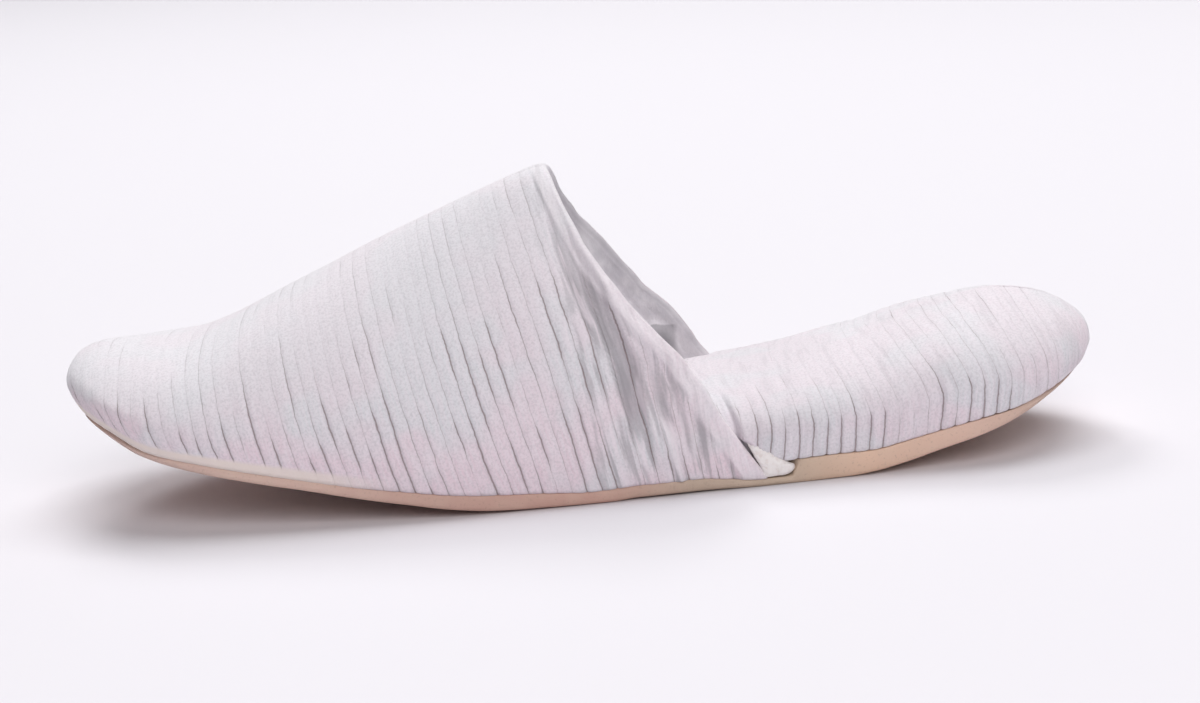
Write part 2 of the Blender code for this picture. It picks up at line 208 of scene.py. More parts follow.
@dataclass(frozen=True)
class Last:
    """The slipper's own sizes, shared by every piece that is made on it."""

    length: float = 266.5
    toe_face: float = 1.33
    heel_face: float = 265.9
    toe_round: float = 58.0
    toe_fullness: float = 2.25
    heel_round: float = 38.0
    heel_fullness: float = 2.1
    spine_inset: float = 26.0
    wall: float = 2.4
    clearance: float = 0.3
    tuck_height: float = 8.0
    ridge_toe: float = 15.5
    ridge_top: float = 129.5
    ridge_pace: float = 1.4
    fan_share: float = 0.35
    tail: float = 178.5
    swell_rise: Span = (132.0, 147.0)
    swell_fall: Span = (178.0, 162.0)
    swell_height: float = 1.4
    girth_rows: tuple = (
        # along, half width, tuck
        (0.0, 43.5, 4.0), (22.0, 44.0, 2.6), (48.0, 44.6, 1.4), (72.0, 46.0, 1.0),
        (98.0, 46.4, 1.0), (122.0, 45.0, 1.0), (148.0, 42.7, 1.0), (172.0, 40.2, 1.0),
        (198.0, 37.8, 1.0), (228.0, 36.4, 1.1), (266.5, 36.0, 2.4),
    )
    tread_rows: tuple = (
        # along, underside, ledge, thickness
        (0.0, 27.7, 1.4, 3.8), (13.5, 23.4, 1.9, 4.1), (25.5, 18.4, 2.4, 4.4),
        (40.5, 14.4, 3.2, 4.8), (65.5, 8.9, 3.5, 5.3), (78.0, 6.1, 3.7, 5.7),
        (90.5, 3.5, 4.2, 6.2), (102.5, 1.2, 4.6, 6.1), (110.5, 0.3, 4.7, 6.0),
        (118.5, 0.0, 4.5, 5.9), (126.5, 0.0, 4.0, 5.6), (140.5, 0.0, 2.6, 5.0),
        (147.5, 0.5, 1.8, 4.5), (162.5, 0.5, 1.7, 4.8), (178.5, 0.0, 1.9, 5.5),
        (199.5, 0.0, 1.9, 6.2), (206.5, 0.5, 1.9, 5.9), (213.5, 1.9, 1.9, 5.8),
        (222.5, 4.4, 1.9, 5.2), (233.5, 7.3, 1.9, 4.5), (243.5, 10.6, 1.2, 3.0),
        (254.5, 15.0, 0.8, 2.0), (266.5, 19.8, 0.6, 1.3),
    )
    vamp_rows: tuple = (
        # along, crown, fullness
        (15.5, 42.9, 2.25), (26.5, 43.2, 2.2), (35.5, 44.0, 2.15), (43.5, 46.2, 2.1),
        (52.5, 49.6, 2.05), (69.5, 56.5, 1.95), (87.5, 63.9, 1.8), (104.5, 70.8, 1.68),
        (121.5, 76.9, 1.58), (126.5, 78.1, 1.56), (129.5, 78.4, 1.56),
    )
    collar_rows: tuple = (
        # rise, along
        (0.0, 178.5), (0.16, 170.5), (0.33, 163.1), (0.52, 152.7),
        (0.71, 142.2), (0.86, 135.9), (1.0, 129.5),
    )

    def __post_init__(self) -> None:
        """Read each table once, a smooth reading to each column."""
        for names, rows in (
            (("full_half_width", "tuck"), self.girth_rows),
            (("underside", "ledge", "thickness"), self.tread_rows),
            (("crown", "fullness"), self.vamp_rows),
            (("collar",), self.collar_rows),
        ):
            for name, reading in zip(names, readings(rows)):
                object.__setattr__(self, name, reading)

    @property
    def tail_turn(self) -> float:
        """Turn of the outline where the collar meets the sole."""
        return self.turn_at(self.tail)

    def turn_at(self, along: float) -> float:
        """Turn of the outline at a place along it."""
        return math.acos(1.0 - 2.0 * along / self.length) / math.pi

    def placed(self, points: Array) -> Array:
        """Turn (along, across, height) in millimetres into the frame's metres.

        Args:
            points: places as (along, across, height).

        Returns:
            Places as (x, y, z).
        """
        moved = np.array(points, float)
        moved[..., 0] -= 0.5 * (self.toe_face + self.heel_face)
        return moved * MM

    def half_width(self, along: Array) -> Array:
        """Half width of the outline, seen from above.

        Args:
            along: places along the slipper.

        Returns:
            Half widths there.
        """
        along = np.clip(along, 0.0, self.length)
        toe = np.clip(1.0 - along / self.toe_round, 0.0, 1.0)
        heel = np.clip(1.0 - (self.length - along) / self.heel_round, 0.0, 1.0)
        toe = (1.0 - toe**self.toe_fullness) ** (1.0 / self.toe_fullness)
        heel = (1.0 - heel**self.heel_fullness) ** (1.0 / self.heel_fullness)
        return self.full_half_width(along) * toe * heel

    def outline(self, turn: Array) -> tuple[Array, Array]:
        """Point of the outline, `turn` going from 0 at the toe to 1 at the heel."""
        along = 0.5 * self.length * (1.0 - np.cos(math.pi * turn))
        return along, self.half_width(along)

    def outward(self, turn: Array) -> tuple[Array, Array]:
        """Unit normal of the outline.

        Args:
            turn: turns of the outline.

        Returns:
            Its parts along and across.
        """
        step = 0.002
        before = self.outline(np.clip(turn - step, 0.0, 1.0))
        after = self.outline(np.clip(turn + step, 0.0, 1.0))
        run, rise = after[0] - before[0], after[1] - before[1]
        reach = np.hypot(run, rise)
        ahead, aside = -rise / reach, run / reach
        ahead = np.where(turn <= 0.0, -1.0, np.where(turn >= 1.0, 1.0, ahead))
        aside = np.where((turn <= 0.0) | (turn >= 1.0), 0.0, aside)
        return ahead, aside

    def inset(self, turn: Array, distance: Array) -> tuple[Array, Array]:
        """Outline point moved inwards along its normal, up to the middle line.

        Args:
            turn: turns of the outline.
            distance: how far to move.

        Returns:
            Places along and across.
        """
        along, across = self.outline(turn)
        ahead, aside = self.outward(turn)
        return along - ahead * distance, np.maximum(across - aside * distance, 0.0)

    def spine(self, turn: Array) -> Array:
        """Place on the middle line that a section of sole or pad runs to."""
        half = 0.5 * self.length
        return half - (half - self.spine_inset) * np.cos(math.pi * turn)

    def drawn_in(self, along: Array, height: Array) -> Array:
        """How far the fabric is drawn in towards the sole at a height above it."""
        return self.tuck(along) * np.clip(1.0 - height / self.tuck_height, 0.0, 1.0) ** 2

    def ledge_height(self, along: Array) -> Array:
        """Height above the floor of the ledge that carries the upper."""
        swell = between(*self.swell_rise, along) * between(*self.swell_fall, along)
        return self.underside(along) + self.ledge(along) + self.swell_height * swell

    def foot(self, along: Array) -> Array:
        """Height of the upper's lower edge, on the sole's ledge."""
        return self.ledge_height(along) + self.clearance

    def sole_top(self, along: Array) -> Array:
        """Height above the floor of the sole's top, under the pad."""
        return self.underside(along) + self.thickness(along)

    def ridge(self, share: Array) -> Array:
        """Place of the vamp's middle line for a section from toe (0) to collar (1)."""
        return self.ridge_toe + (self.ridge_top - self.ridge_toe) * share**self.ridge_pace

    def upper_face(self, share: Array, lift: Array) -> Array:
        """Outer face of the upper.

        Args:
            share: 0 at the toe tip to 1 at the collar.
            lift: 0 at the sole to 1 at the middle line.

        Returns:
            Points as (along, across, height) on the right-hand side.
        """
        turn = share * self.tail_turn
        base_along, base_across = self.outline(turn)
        ridge = self.ridge(share)
        power = 2.0 / self.fullness(ridge)
        angle = lift * math.pi / 2.0
        rise = np.sin(angle) ** power
        reach = np.clip(np.cos(angle), 0.0, 1.0) ** power
        slant = (self.collar(rise) - self.ridge_top) / (self.tail - self.ridge_top)
        settled = eased(share / self.fan_share)
        along = ridge + (base_along - ridge) * blend(reach, slant, settled)
        across = blend(base_across, self.half_width(along), settled) * reach
        foot = self.foot(base_along)
        height = (self.crown(ridge) - foot) * rise
        ahead, aside = self.outward(turn)
        pull = self.drawn_in(base_along, height)
        along = along - ahead * pull
        across = np.maximum(across - aside * pull, 0.0)
        across = np.where((lift >= 1.0) | (share <= 0.0), 0.0, across)
        return np.stack([along, across, foot + height], axis=-1)


# --- meshes from grids ---


@dataclass
class Weave:
    """A grid of points that runs over the slipper from its left side to its right."""

    points: Array
    closed_front: bool = False
    closed_back: bool = False
    index: Array = field(init=False)
    kept: Array = field(init=False)

    def __post_init__(self) -> None:
        """Number the grid's points, joining the two sides where an end column closes."""
        columns, rows = self.points.shape[:2]
        index = np.arange(columns * rows).reshape(columns, rows)
        half = rows // 2
        for closed, column in ((self.closed_front, 0), (self.closed_back, -1)):
            if closed:
                index[column, :half] = index[column, half + 1 :][::-1]
        self.kept, index = np.unique(index, return_inverse=True)
        self.index = index.reshape(columns, rows)

    def flat(self, values: Array) -> Array:
        """List a grid of values in the order of the mesh's points."""
        return values.reshape(self.points.shape[0] * self.points.shape[1], -1)[self.kept]

    def mesh(
        self,
        name: str,
        last: Last,
        points: Optional[Array] = None,
        measures: Optional[dict[str, Array]] = None,
    ) -> bpy.types.Mesh:
        """Make the mesh.

        Args:
            name: the mesh's name.
            last: the last that places it in the frame.
            points: other places for the same grid.
            measures: numbers on the grid that its finish reads, by name.

        Returns:
            The new mesh, smooth shaded.
        """
        made = bpy.data.meshes.new(name)
        index = self.index
        corners = (index[:-1, :-1], index[1:, :-1], index[1:, 1:], index[:-1, 1:])
        placed = last.placed(self.flat(self.points if points is None else points))
        made.from_pydata(placed, [], np.stack(corners, axis=-1).reshape(-1, 4), shade_flat=False)
        made.validate()
        for measure, values in (measures or {}).items():
            kept = made.attributes.new(measure, "FLOAT", "POINT")
            kept.data.foreach_set("value", self.flat(values).astype(np.float32).ravel())
        return made

    def normals(self, last: Last) -> Array:
        """Unit normals of the undressed grid, level across the slipper on its middle line.

        Args:
            last: the last that places it in the frame.

        Returns:
            A normal for each point of the grid.
        """
        made = self.mesh("normals", last)
        found = np.zeros(len(made.vertices) * 3, np.float32)
        made.vertex_normals.foreach_get("vector", found)
        bpy.data.meshes.remove(made)
        normals = found.reshape(-1, 3)[self.index].astype(float)
        normals[:, self.points.shape[1] // 2, 1] = 0.0
        return normals


def mirrored(right: Array) -> Array:
    """Repeat rows that end on the middle line: left side, middle and right side."""
    return np.concatenate([right[:, :-1], right[:, ::-1]], axis=1)


def both_sides(right: Array) -> Array:
    """Mirror points whose rows end on the middle line, giving the whole width.

    Args:
        right: columns of points on the right-hand side.

    Returns:
        The whole columns, from left to right.
    """
    whole = mirrored(right)
    whole[:, : right.shape[1] - 1, 1] *= -1.0
    return whole


def run_across(points: Array) -> Array:
    """Distance over a grid from its left edge to each point of a column."""
    steps = np.linalg.norm(np.diff(points, axis=1), axis=-1)
    return np.concatenate([np.zeros_like(steps[:, :1]), np.cumsum(steps, axis=1)], axis=1)


def even_turns(last: Last, stops: Sequence[Span]) -> Array:
    """Turns of the outline that are spaced by distance.

    Args:
        last: the last whose outline is followed.
        stops: (turn, spacing there) from the first turn to the last.

    Returns:
        Turns from the first stop to the last.
    """
    fine = np.linspace(stops[0][0], stops[-1][0], 6000)
    along, across = last.outline(fine)
    gaps = np.hypot(np.diff(along), np.diff(across))
    count = np.concatenate([[0.0], np.cumsum(gaps / read_off(stops, fine[1:]))])
    return np.interp(np.linspace(0.0, count[-1], int(round(count[-1])) + 1), count, fine)


@contextmanager
def reworked(mesh: bpy.types.Mesh) -> Iterator[bmesh.types.BMesh]:
    """Open a mesh for rework and write it back.

    Args:
        mesh: the mesh to rework.

    Returns:
        Its form, open while the block runs.
    """
    form = bmesh.new()
    form.from_mesh(mesh)
    yield form
    form.to_mesh(mesh)
    form.free()


def put_on_body(name: str, mesh: bpy.types.Mesh, *finishes: bpy.types.Material) -> bpy.types.Object:
    """Make a piece of a mesh and its finishes, in place on the slipper's one body.

    Args:
        name: the piece's name.
        mesh: its mesh.
        finishes: its materials, in the order of their slots.

    Returns:
        The new piece.
    """
    for finish in finishes:
        mesh.materials.append(finish)
    piece = bpy.data.objects.new(name, mesh)
    bpy.context.scene.collection.objects.link(piece)
    bpy.context.view_layer.update()
    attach(piece, BODY)
    return piece


# --- shader maths ---


Number = Union[float, "Value"]
Given = Union[Number, Colour, bpy.types.NodeSocket]


@dataclass(frozen=True)
class Value:
    """A number that changes over a surface; arithmetic on it adds Math nodes."""

    finish: "Finish"
    socket: bpy.types.NodeSocket

    def _maths(self, operation: str, *numbers: Number, clamp: bool = False) -> "Value":
        """Add a Math node to the finish.

        Args:
            operation: the node's operation.
            numbers: its inputs.
            clamp: whether it holds the outcome between 0 and 1.

        Returns:
            The outcome.
        """
        settings = {"operation": operation, "use_clamp": clamp}
        node = self.finish.node("ShaderNodeMath", settings, dict(enumerate(numbers)))
        return Value(self.finish, node.outputs[0])

    def __add__(self, other: Number) -> "Value":
        """Add."""
        return self._maths("ADD", self, other)

    __radd__ = __add__

    def __sub__(self, other: Number) -> "Value":
        """Subtract."""
        return self._maths("SUBTRACT", self, other)

    def __rsub__(self, other: Number) -> "Value":
        """Subtract this from another."""
        return self._maths("SUBTRACT", other, self)

    def __mul__(self, other: Number) -> "Value":
        """Multiply."""
        return self._maths("MULTIPLY", self, other)

    __rmul__ = __mul__

    def __truediv__(self, other: Number) -> "Value":
        """Divide."""
        return self._maths("DIVIDE", self, other)

    def __rtruediv__(self, other: Number) -> "Value":
        """Divide another by this."""
        return self._maths("DIVIDE", other, self)

    def __abs__(self) -> "Value":
        """Size without sign."""
        return self._maths("ABSOLUTE", self)

    def rounded(self) -> "Value":
        """Nearest whole number."""
        return self._maths("ROUND", self)

    def clamped(self) -> "Value":
        """Hold between 0 and 1."""
        return self._maths("ADD", self, 0.0, clamp=True)

    def within(self, low: float, high: float) -> "Value":
        """Ease from 0 at `low` to 1 at `high`.

        Args:
            low: where it starts.
            high: where it ends.

        Returns:
            The eased number.
        """
        sockets = {"Value": self, 1: low, 2: high}
        node = self.finish.node("ShaderNodeMapRange", {"interpolation_type": "SMOOTHSTEP"}, sockets)
        return Value(self.finish, node.outputs[0])


class Finish:
    """A procedural material that is built node by node."""

    def __init__(self, name: str) -> None:
        """Start a material with one Principled shader.

        Args:
            name: the material's name.
        """
        self.material = bpy.data.materials.new(name)
        self.material.use_nodes = True
        self.tree = self.material.node_tree
        self.tree.nodes.clear()
        self.shader = self.node("ShaderNodeBsdfPrincipled")
        self.node("ShaderNodeOutputMaterial", None, {0: self.shader.outputs[0]})

    def feed(self, socket: bpy.types.NodeSocket, given: Given) -> None:
        """Link one input to a value or socket, or set it to a number or colour.

        Args:
            socket: the input.
            given: what it gets.
        """
        if isinstance(given, Value):
            given = given.socket
        if isinstance(given, bpy.types.NodeSocket):
            self.tree.links.new(given, socket)
        elif isinstance(given, tuple):
            socket.default_value = (*given, 1.0)
        else:
            socket.default_value = given

    def node(
        self, kind: str, settings: Optional[dict] = None, sockets: Optional[dict] = None
    ) -> bpy.types.Node:
        """Add a node.

        Args:
            kind: Blender's type name of the node.
            settings: its own settings, set before its sockets; a ramp's `stops`
                are (position, colour) pairs.
            sockets: numbers, colours or links for its inputs, by name or number.

        Returns:
            The new node.
        """
        made = self.tree.nodes.new(kind)
        for name, setting in (settings or {}).items():
            if name == "stops":
                elements = made.color_ramp.elements
                for position, _ in setting[1:-1]:
                    elements.new(position)
                for element, (position, colour) in zip(elements, setting):
                    element.position, element.color = position, (*colour, 1.0)
            else:
                setattr(made, name, setting)
        for name, given in (sockets or {}).items():
            self.feed(made.inputs[name], given)
        return made

    def measure(self, name: str) -> Value:
        """Read a number that the mesh keeps for its finish."""
        return Value(self, self.node("ShaderNodeAttribute", {"attribute_name": name}).outputs["Fac"])

    def place(self) -> bpy.types.NodeSocket:
        """Place on the piece, in metres."""
        return self.node("ShaderNodeTexCoord").outputs["Object"]

    def parts(self, vector: bpy.types.NodeSocket) -> tuple[Value, Value, Value]:
        """Split a vector into its three numbers."""
        node = self.node("ShaderNodeSeparateXYZ", None, {0: vector})
        return tuple(Value(self, socket) for socket in node.outputs)

    def vector(self, x: Number, y: Number) -> bpy.types.NodeSocket:
        """Join two numbers into a vector."""
        return self.node("ShaderNodeCombineXYZ", None, {0: x, 1: y}).outputs[0]

    def noise(self, vector: bpy.types.NodeSocket, scale: float, detail: float = 2.0) -> Value:
        """Noise from 0 to 1, `scale` cells to each unit of the vector."""
        sockets = {"Vector": vector, "Scale": scale, "Detail": detail, "Roughness": 0.55}
        return Value(self, self.node("ShaderNodeTexNoise", None, sockets).outputs[0])

    def strands(self, across: Value, along: Value, scales: Span, detail: float = 2.0) -> Value:
        """Noise from 0 to 1 over two measures, with its own scale for each."""
        return self.noise(self.vector(across * scales[0], along * scales[1]), 1.0, detail)

    def layered(self, colour: Given, *layers: tuple[Number, Given]) -> Given:
        """Lay colours over a first one, each by its own share.

        Args:
            colour: the first colour.
            layers: (share, colour) pairs, from low to high.

        Returns:
            The mixed colour.
        """
        for share, laid in layers:
            node = self.node("ShaderNodeMix", {"data_type": "RGBA"}, {0: share, 6: colour, 7: laid})
            colour = node.outputs[2]
        return colour

    def shaded(self, colour: Given, roughness: Number, **sockets: float) -> None:
        """Give the shader its colour, roughness and any other plain settings."""
        for name, given in {"Base Color": colour, "Roughness": roughness, **sockets}.items():
            self.feed(self.shader.inputs[name.replace("_", " ")], given)

    def raised(self, height: Value, distance: float, strength: float) -> None:
        """Let a height in shares of `distance` metres tilt the surface.

        Args:
            height: the height, from about 0 to 1.
            distance: how high 1 stands.
            strength: how much of it shows.
        """
        sockets = {"Height": height, "Distance": distance, "Strength": strength}
        bump = self.node("ShaderNodeBump", None, sockets)
        self.feed(self.shader.inputs["Normal"], bump.outputs[0])


# --- finishes ---


@dataclass(frozen=True)
class CordedVelour:
    """Soft cut-pile fabric in flat cords with thin broken valleys between them."""

    name: str = "corded_velour"
    # The pile's light tone; also the painted highlight in the gathered cloth's streaks.
    light: Colour = (0.865, 0.785, 0.835)
    warm: Colour = (0.815, 0.665, 0.73)
    # Painted top light: the paler, more neutral tone of fabric that faces up.
    pale: Colour = (0.785, 0.78, 0.81)
    cool: Colour = (0.715, 0.725, 0.755)
    # Painted shade in the valleys between cords.
    valley: Colour = (0.26, 0.185, 0.18)
    band: Colour = (0.84, 0.745, 0.70)
    # Painted shade in creases and gathered cloth; also the pile's fine dark grain.
    fold: Colour = (0.37, 0.35, 0.375)
    # Painted shade on the cords' sides beside each valley.
    cord_side_shade: Colour = (0.58, 0.555, 0.60)
    lit: Colour = (0.93, 0.89, 0.92)
    valley_width: float = 0.068  # share of a cord, from its middle to its edge

    def make(self) -> bpy.types.Material:
        """Build the material; its swings and widths are in cords.

        Returns:
            The material.
        """
        finish = Finish(self.name)
        cord, strength, girth, band, fold, lit, gather, crown = (
            finish.measure(name)
            for name in ("cord", "valley", "girth", "band", "fold", "lit", "gather", "crown")
        )
        place = finish.place()
        jitter = finish.strands(cord, girth, (0.9, 0.30))
        fine = finish.strands(cord, girth, (2.0, 1.5))
        ragged = finish.strands(cord, girth, (3.0, 0.8), 3.0)
        swung = cord + (jitter - 0.5) * 0.17 + (fine - 0.5) * 0.05
        distance = abs(swung - swung.rounded())
        width = (0.28 + strength * 0.85) * self.valley_width * (0.5 + ragged)
        # Masks of each valley's painted shade, also sunk into the bump: a thin line, and a soft band beside
        # it.
        line = (1.0 - (distance / width).within(0.3, 1.0)) * (strength.within(0.0, 0.75) * 0.72 + 0.28)
        line = line * strength.within(0.03, 0.12)
        soft = (1.0 - distance.within(0.0, 0.30)) * strength
        patches = finish.noise(place, 48.0)
        streaks = finish.strands(cord, girth, (5.5, 0.16), 3.0)
        strands = finish.strands(cord, girth, (1.9, 0.05))
        nap = finish.noise(place, 1700.0, 4.0)
        colour = finish.layered(
            self.warm,
            (patches.within(0.45, 0.61), self.cool),
            (streaks.within(0.3, 0.7) * 0.6 + 0.12, self.light),
            # Painted top light: fabric that faces up is mixed to the paler tone.
            (crown * 0.75, self.pale),
            ((1.0 - nap.within(0.3, 0.6)) * 0.24, self.fold),
            # Painted shade in the creases, painted highlight on the ridges and the hem.
            (fold * (0.46 + streaks * 0.60), self.fold),
            (lit * (0.12 + streaks * 0.65), self.lit),
            # Painted shade and highlight: dark and light streaks in the gathered cloth.
            ((1.0 - strands.within(0.34, 0.5)) * gather * 0.55, self.fold),
            (strands.within(0.54, 0.68) * gather * 0.6, self.light),
            # Painted shade on the cords' sides and, darkest, in their valleys.
            (soft * 0.38, self.cord_side_shade),
            (line * 0.66, self.valley),
            (band, self.band),
        )
        finish.shaded(colour, 0.95, Sheen_Weight=0.2, Sheen_Roughness=0.5, Specular_IOR_Level=0.15)
        height = nap * 0.3 + streaks * 0.35 + strands * gather * 1.2 - line * 0.6 - soft * 0.3
        finish.raised(height, 0.00035, 0.7)
        return finish.material


@dataclass(frozen=True)
class LiningCloth:
    """Plain grey-white lining, a little creased, with painted shade in the hollow under its fold."""

    name: str = "lining_cloth"
    # The cloth's light tone; also its painted highlight on the shelf.
    light: Colour = (0.95, 0.925, 0.95)
    dark: Colour = (0.76, 0.74, 0.775)
    # Painted shade in the hollows and crumples, and the painted shadow under the shelf.
    hollow: Colour = (0.30, 0.29, 0.31)
    # The painted shadow under the shelf: its edge's height, its span along the slipper, its wave and its
    # softness.
    shelf_height: float = 0.0279  # metres in the frame, as are the next three
    shelf_reach: Span = (0.0165, 0.0272)
    shelf_wave: float = 0.0016
    shelf_soft: Span = (0.0004, 0.0012)

    def make(self) -> bpy.types.Material:
        """Build the material.

        Returns:
            The material.
        """
        finish = Finish(self.name)
        fold, lit, girth, reach = (finish.measure(name) for name in ("fold", "lit", "girth", "reach"))
        place = finish.place()
        cloud = finish.noise(place, 130.0, 4.0)
        weave = finish.noise(place, 2200.0, 1.0)
        crumple = finish.strands(girth, reach, (0.16, 0.22), 4.0)
        x, _, z = finish.parts(place)
        edge_soft, end_soft = self.shelf_soft
        # Painted shadow under the shelf's edge, held within its span along the slipper.
        under = (((crumple - 0.5) * self.shelf_wave + self.shelf_height - z) / edge_soft).clamped()
        for inside in (x - self.shelf_reach[0], self.shelf_reach[1] - x):
            under = under * (inside / end_soft).clamped()
        colour = finish.layered(
            self.dark,
            (cloud.within(0.3, 0.7), self.light),
            # Painted shade in the crumples and hollows, painted highlight on the shelf, painted shadow
            # under it.
            ((1.0 - crumple.within(0.38, 0.55)) * 0.13, self.hollow),
            (fold * (0.38 + crumple * 0.75), self.hollow),
            (lit * 0.8, self.light),
            (under * (0.34 + crumple * 0.36), self.hollow),
        )
        finish.shaded(colour, 0.9, Sheen_Weight=0.15, Specular_IOR_Level=0.2)
        finish.raised(cloud * 0.5 + crumple * 0.9 + weave * 0.15, 0.0012, 0.6)
        return finish.material


@dataclass(frozen=True)
class FoamRubber:
    """Tan foam rubber whose tone drifts from toe to heel."""

    name: str = "foam_rubber"
    tones: tuple[tuple[float, Colour], ...] = (
        (0.0, (0.62, 0.46, 0.41)),
        (0.22, (0.68, 0.48, 0.41)),
        (0.36, (0.60, 0.385, 0.32)),
        (0.52, (0.61, 0.375, 0.31)),
        (0.60, (0.54, 0.42, 0.33)),
        (0.69, (0.58, 0.46, 0.355)),
        (0.76, (0.80, 0.56, 0.42)),
        (0.86, (0.76, 0.53, 0.43)),
        (1.0, (0.50, 0.39, 0.34)),
    )
    cloudy: Colour = (0.74, 0.58, 0.47)
    specked: Colour = (0.30, 0.20, 0.16)
    half_length: float = 0.1323  # metres

    def make(self) -> bpy.types.Material:
        """Build the material.

        Returns:
            The material.
        """
        finish = Finish(self.name)
        place = finish.place()
        x, _, _ = finish.parts(place)
        run = ((x + self.half_length) / (2.0 * self.half_length)).clamped()
        tone = finish.node("ShaderNodeValToRGB", {"stops": self.tones}, {0: run}).outputs[0]
        cloud = finish.noise(place, 160.0, 3.0)
        speck = finish.noise(place, 1500.0)
        colour = finish.layered(
            tone,
            (cloud.within(0.3, 0.75) * 0.25, self.cloudy),
            ((1.0 - speck.within(0.28, 0.42)) * 0.22, self.specked),
        )
        finish.shaded(colour, 0.62 + cloud * 0.2, Specular_IOR_Level=0.35)
        finish.raised(cloud * 0.6 + speck * 0.4, 0.0003, 0.6)
        return finish.material


@dataclass(frozen=True)
class WoolFelt:
    """Cream felt with a matted, uneven face."""

    name: str = "wool_felt"
    light: Colour = (0.95, 0.91, 0.89)
    shade: Colour = (0.86, 0.79, 0.76)

    def make(self) -> bpy.types.Material:
        """Build the material.

        Returns:
            The material.
        """
        finish = Finish(self.name)
        matted = finish.noise(finish.place(), 900.0, 5.0)
        colour = finish.layered(self.shade, (matted.within(0.3, 0.55), self.light))
        finish.shaded(colour, 0.95, Sheen_Weight=0.3, Specular_IOR_Level=0.1)
        finish.raised(matted, 0.0005, 0.7)
        return finish.material


@dataclass(frozen=True)
class StudioPaper:
    """Seamless pale paper."""

    name: str = "studio_paper"
    colour: Colour = (0.785, 0.775, 0.81)
    grain: Colour = (0.74, 0.73, 0.765)

    def make(self) -> bpy.types.Material:
        """Build the material.

        Returns:
            The material.
        """
        finish = Finish(self.name)
        fibres = finish.noise(finish.place(), 400.0)
        finish.shaded(
            finish.layered(self.colour, (fibres * 0.06, self.grain)), 0.9, Specular_IOR_Level=0.1
        )
        return finish.material


# --- cords and folds ---


class Side(Enum):
    """Side of the slipper, as the sign of its across measure."""

    LEFT = -1
    RIGHT = 1


@dataclass(frozen=True)
class Pleat:
    """A trough or a ridge that runs up the fabric between two edges of its own.

    Each row is (height, toe edge, heel edge, share), from low to high; the share says how
    much of the pleat's depth shows at that height, and how much of its painted tone: painted
    shade in a trough, painted highlight on a ridge.
    """

    rows: tuple[tuple[float, float, float, float], ...]
    depth: float
    toe_soft: float = 0.5
    heel_soft: float = 0.9
    fading: float = 0.3

    def presence(self, along: Array, height: Array) -> Array:
        """How far each point lies in the pleat, from 0 to 1.

        Args:
            along: places along the slipper.
            height: their heights.

        Returns:
            The share for each point.
        """
        heights, *columns = zip(*self.rows)
        toe, heel, share = (np.interp(height, heights, column) for column in columns)
        inside = (height >= heights[0]) & (height <= heights[-1])
        entering = eased(0.5 + (along - toe) / (2.0 * self.toe_soft))
        leaving = eased(0.5 - (along - heel) / (2.0 * self.heel_soft))
        across = np.clip((along - toe) / np.maximum(heel - toe, 0.1), 0.0, 1.0)
        return share * entering * leaving * (1.0 - self.fading * across) * inside
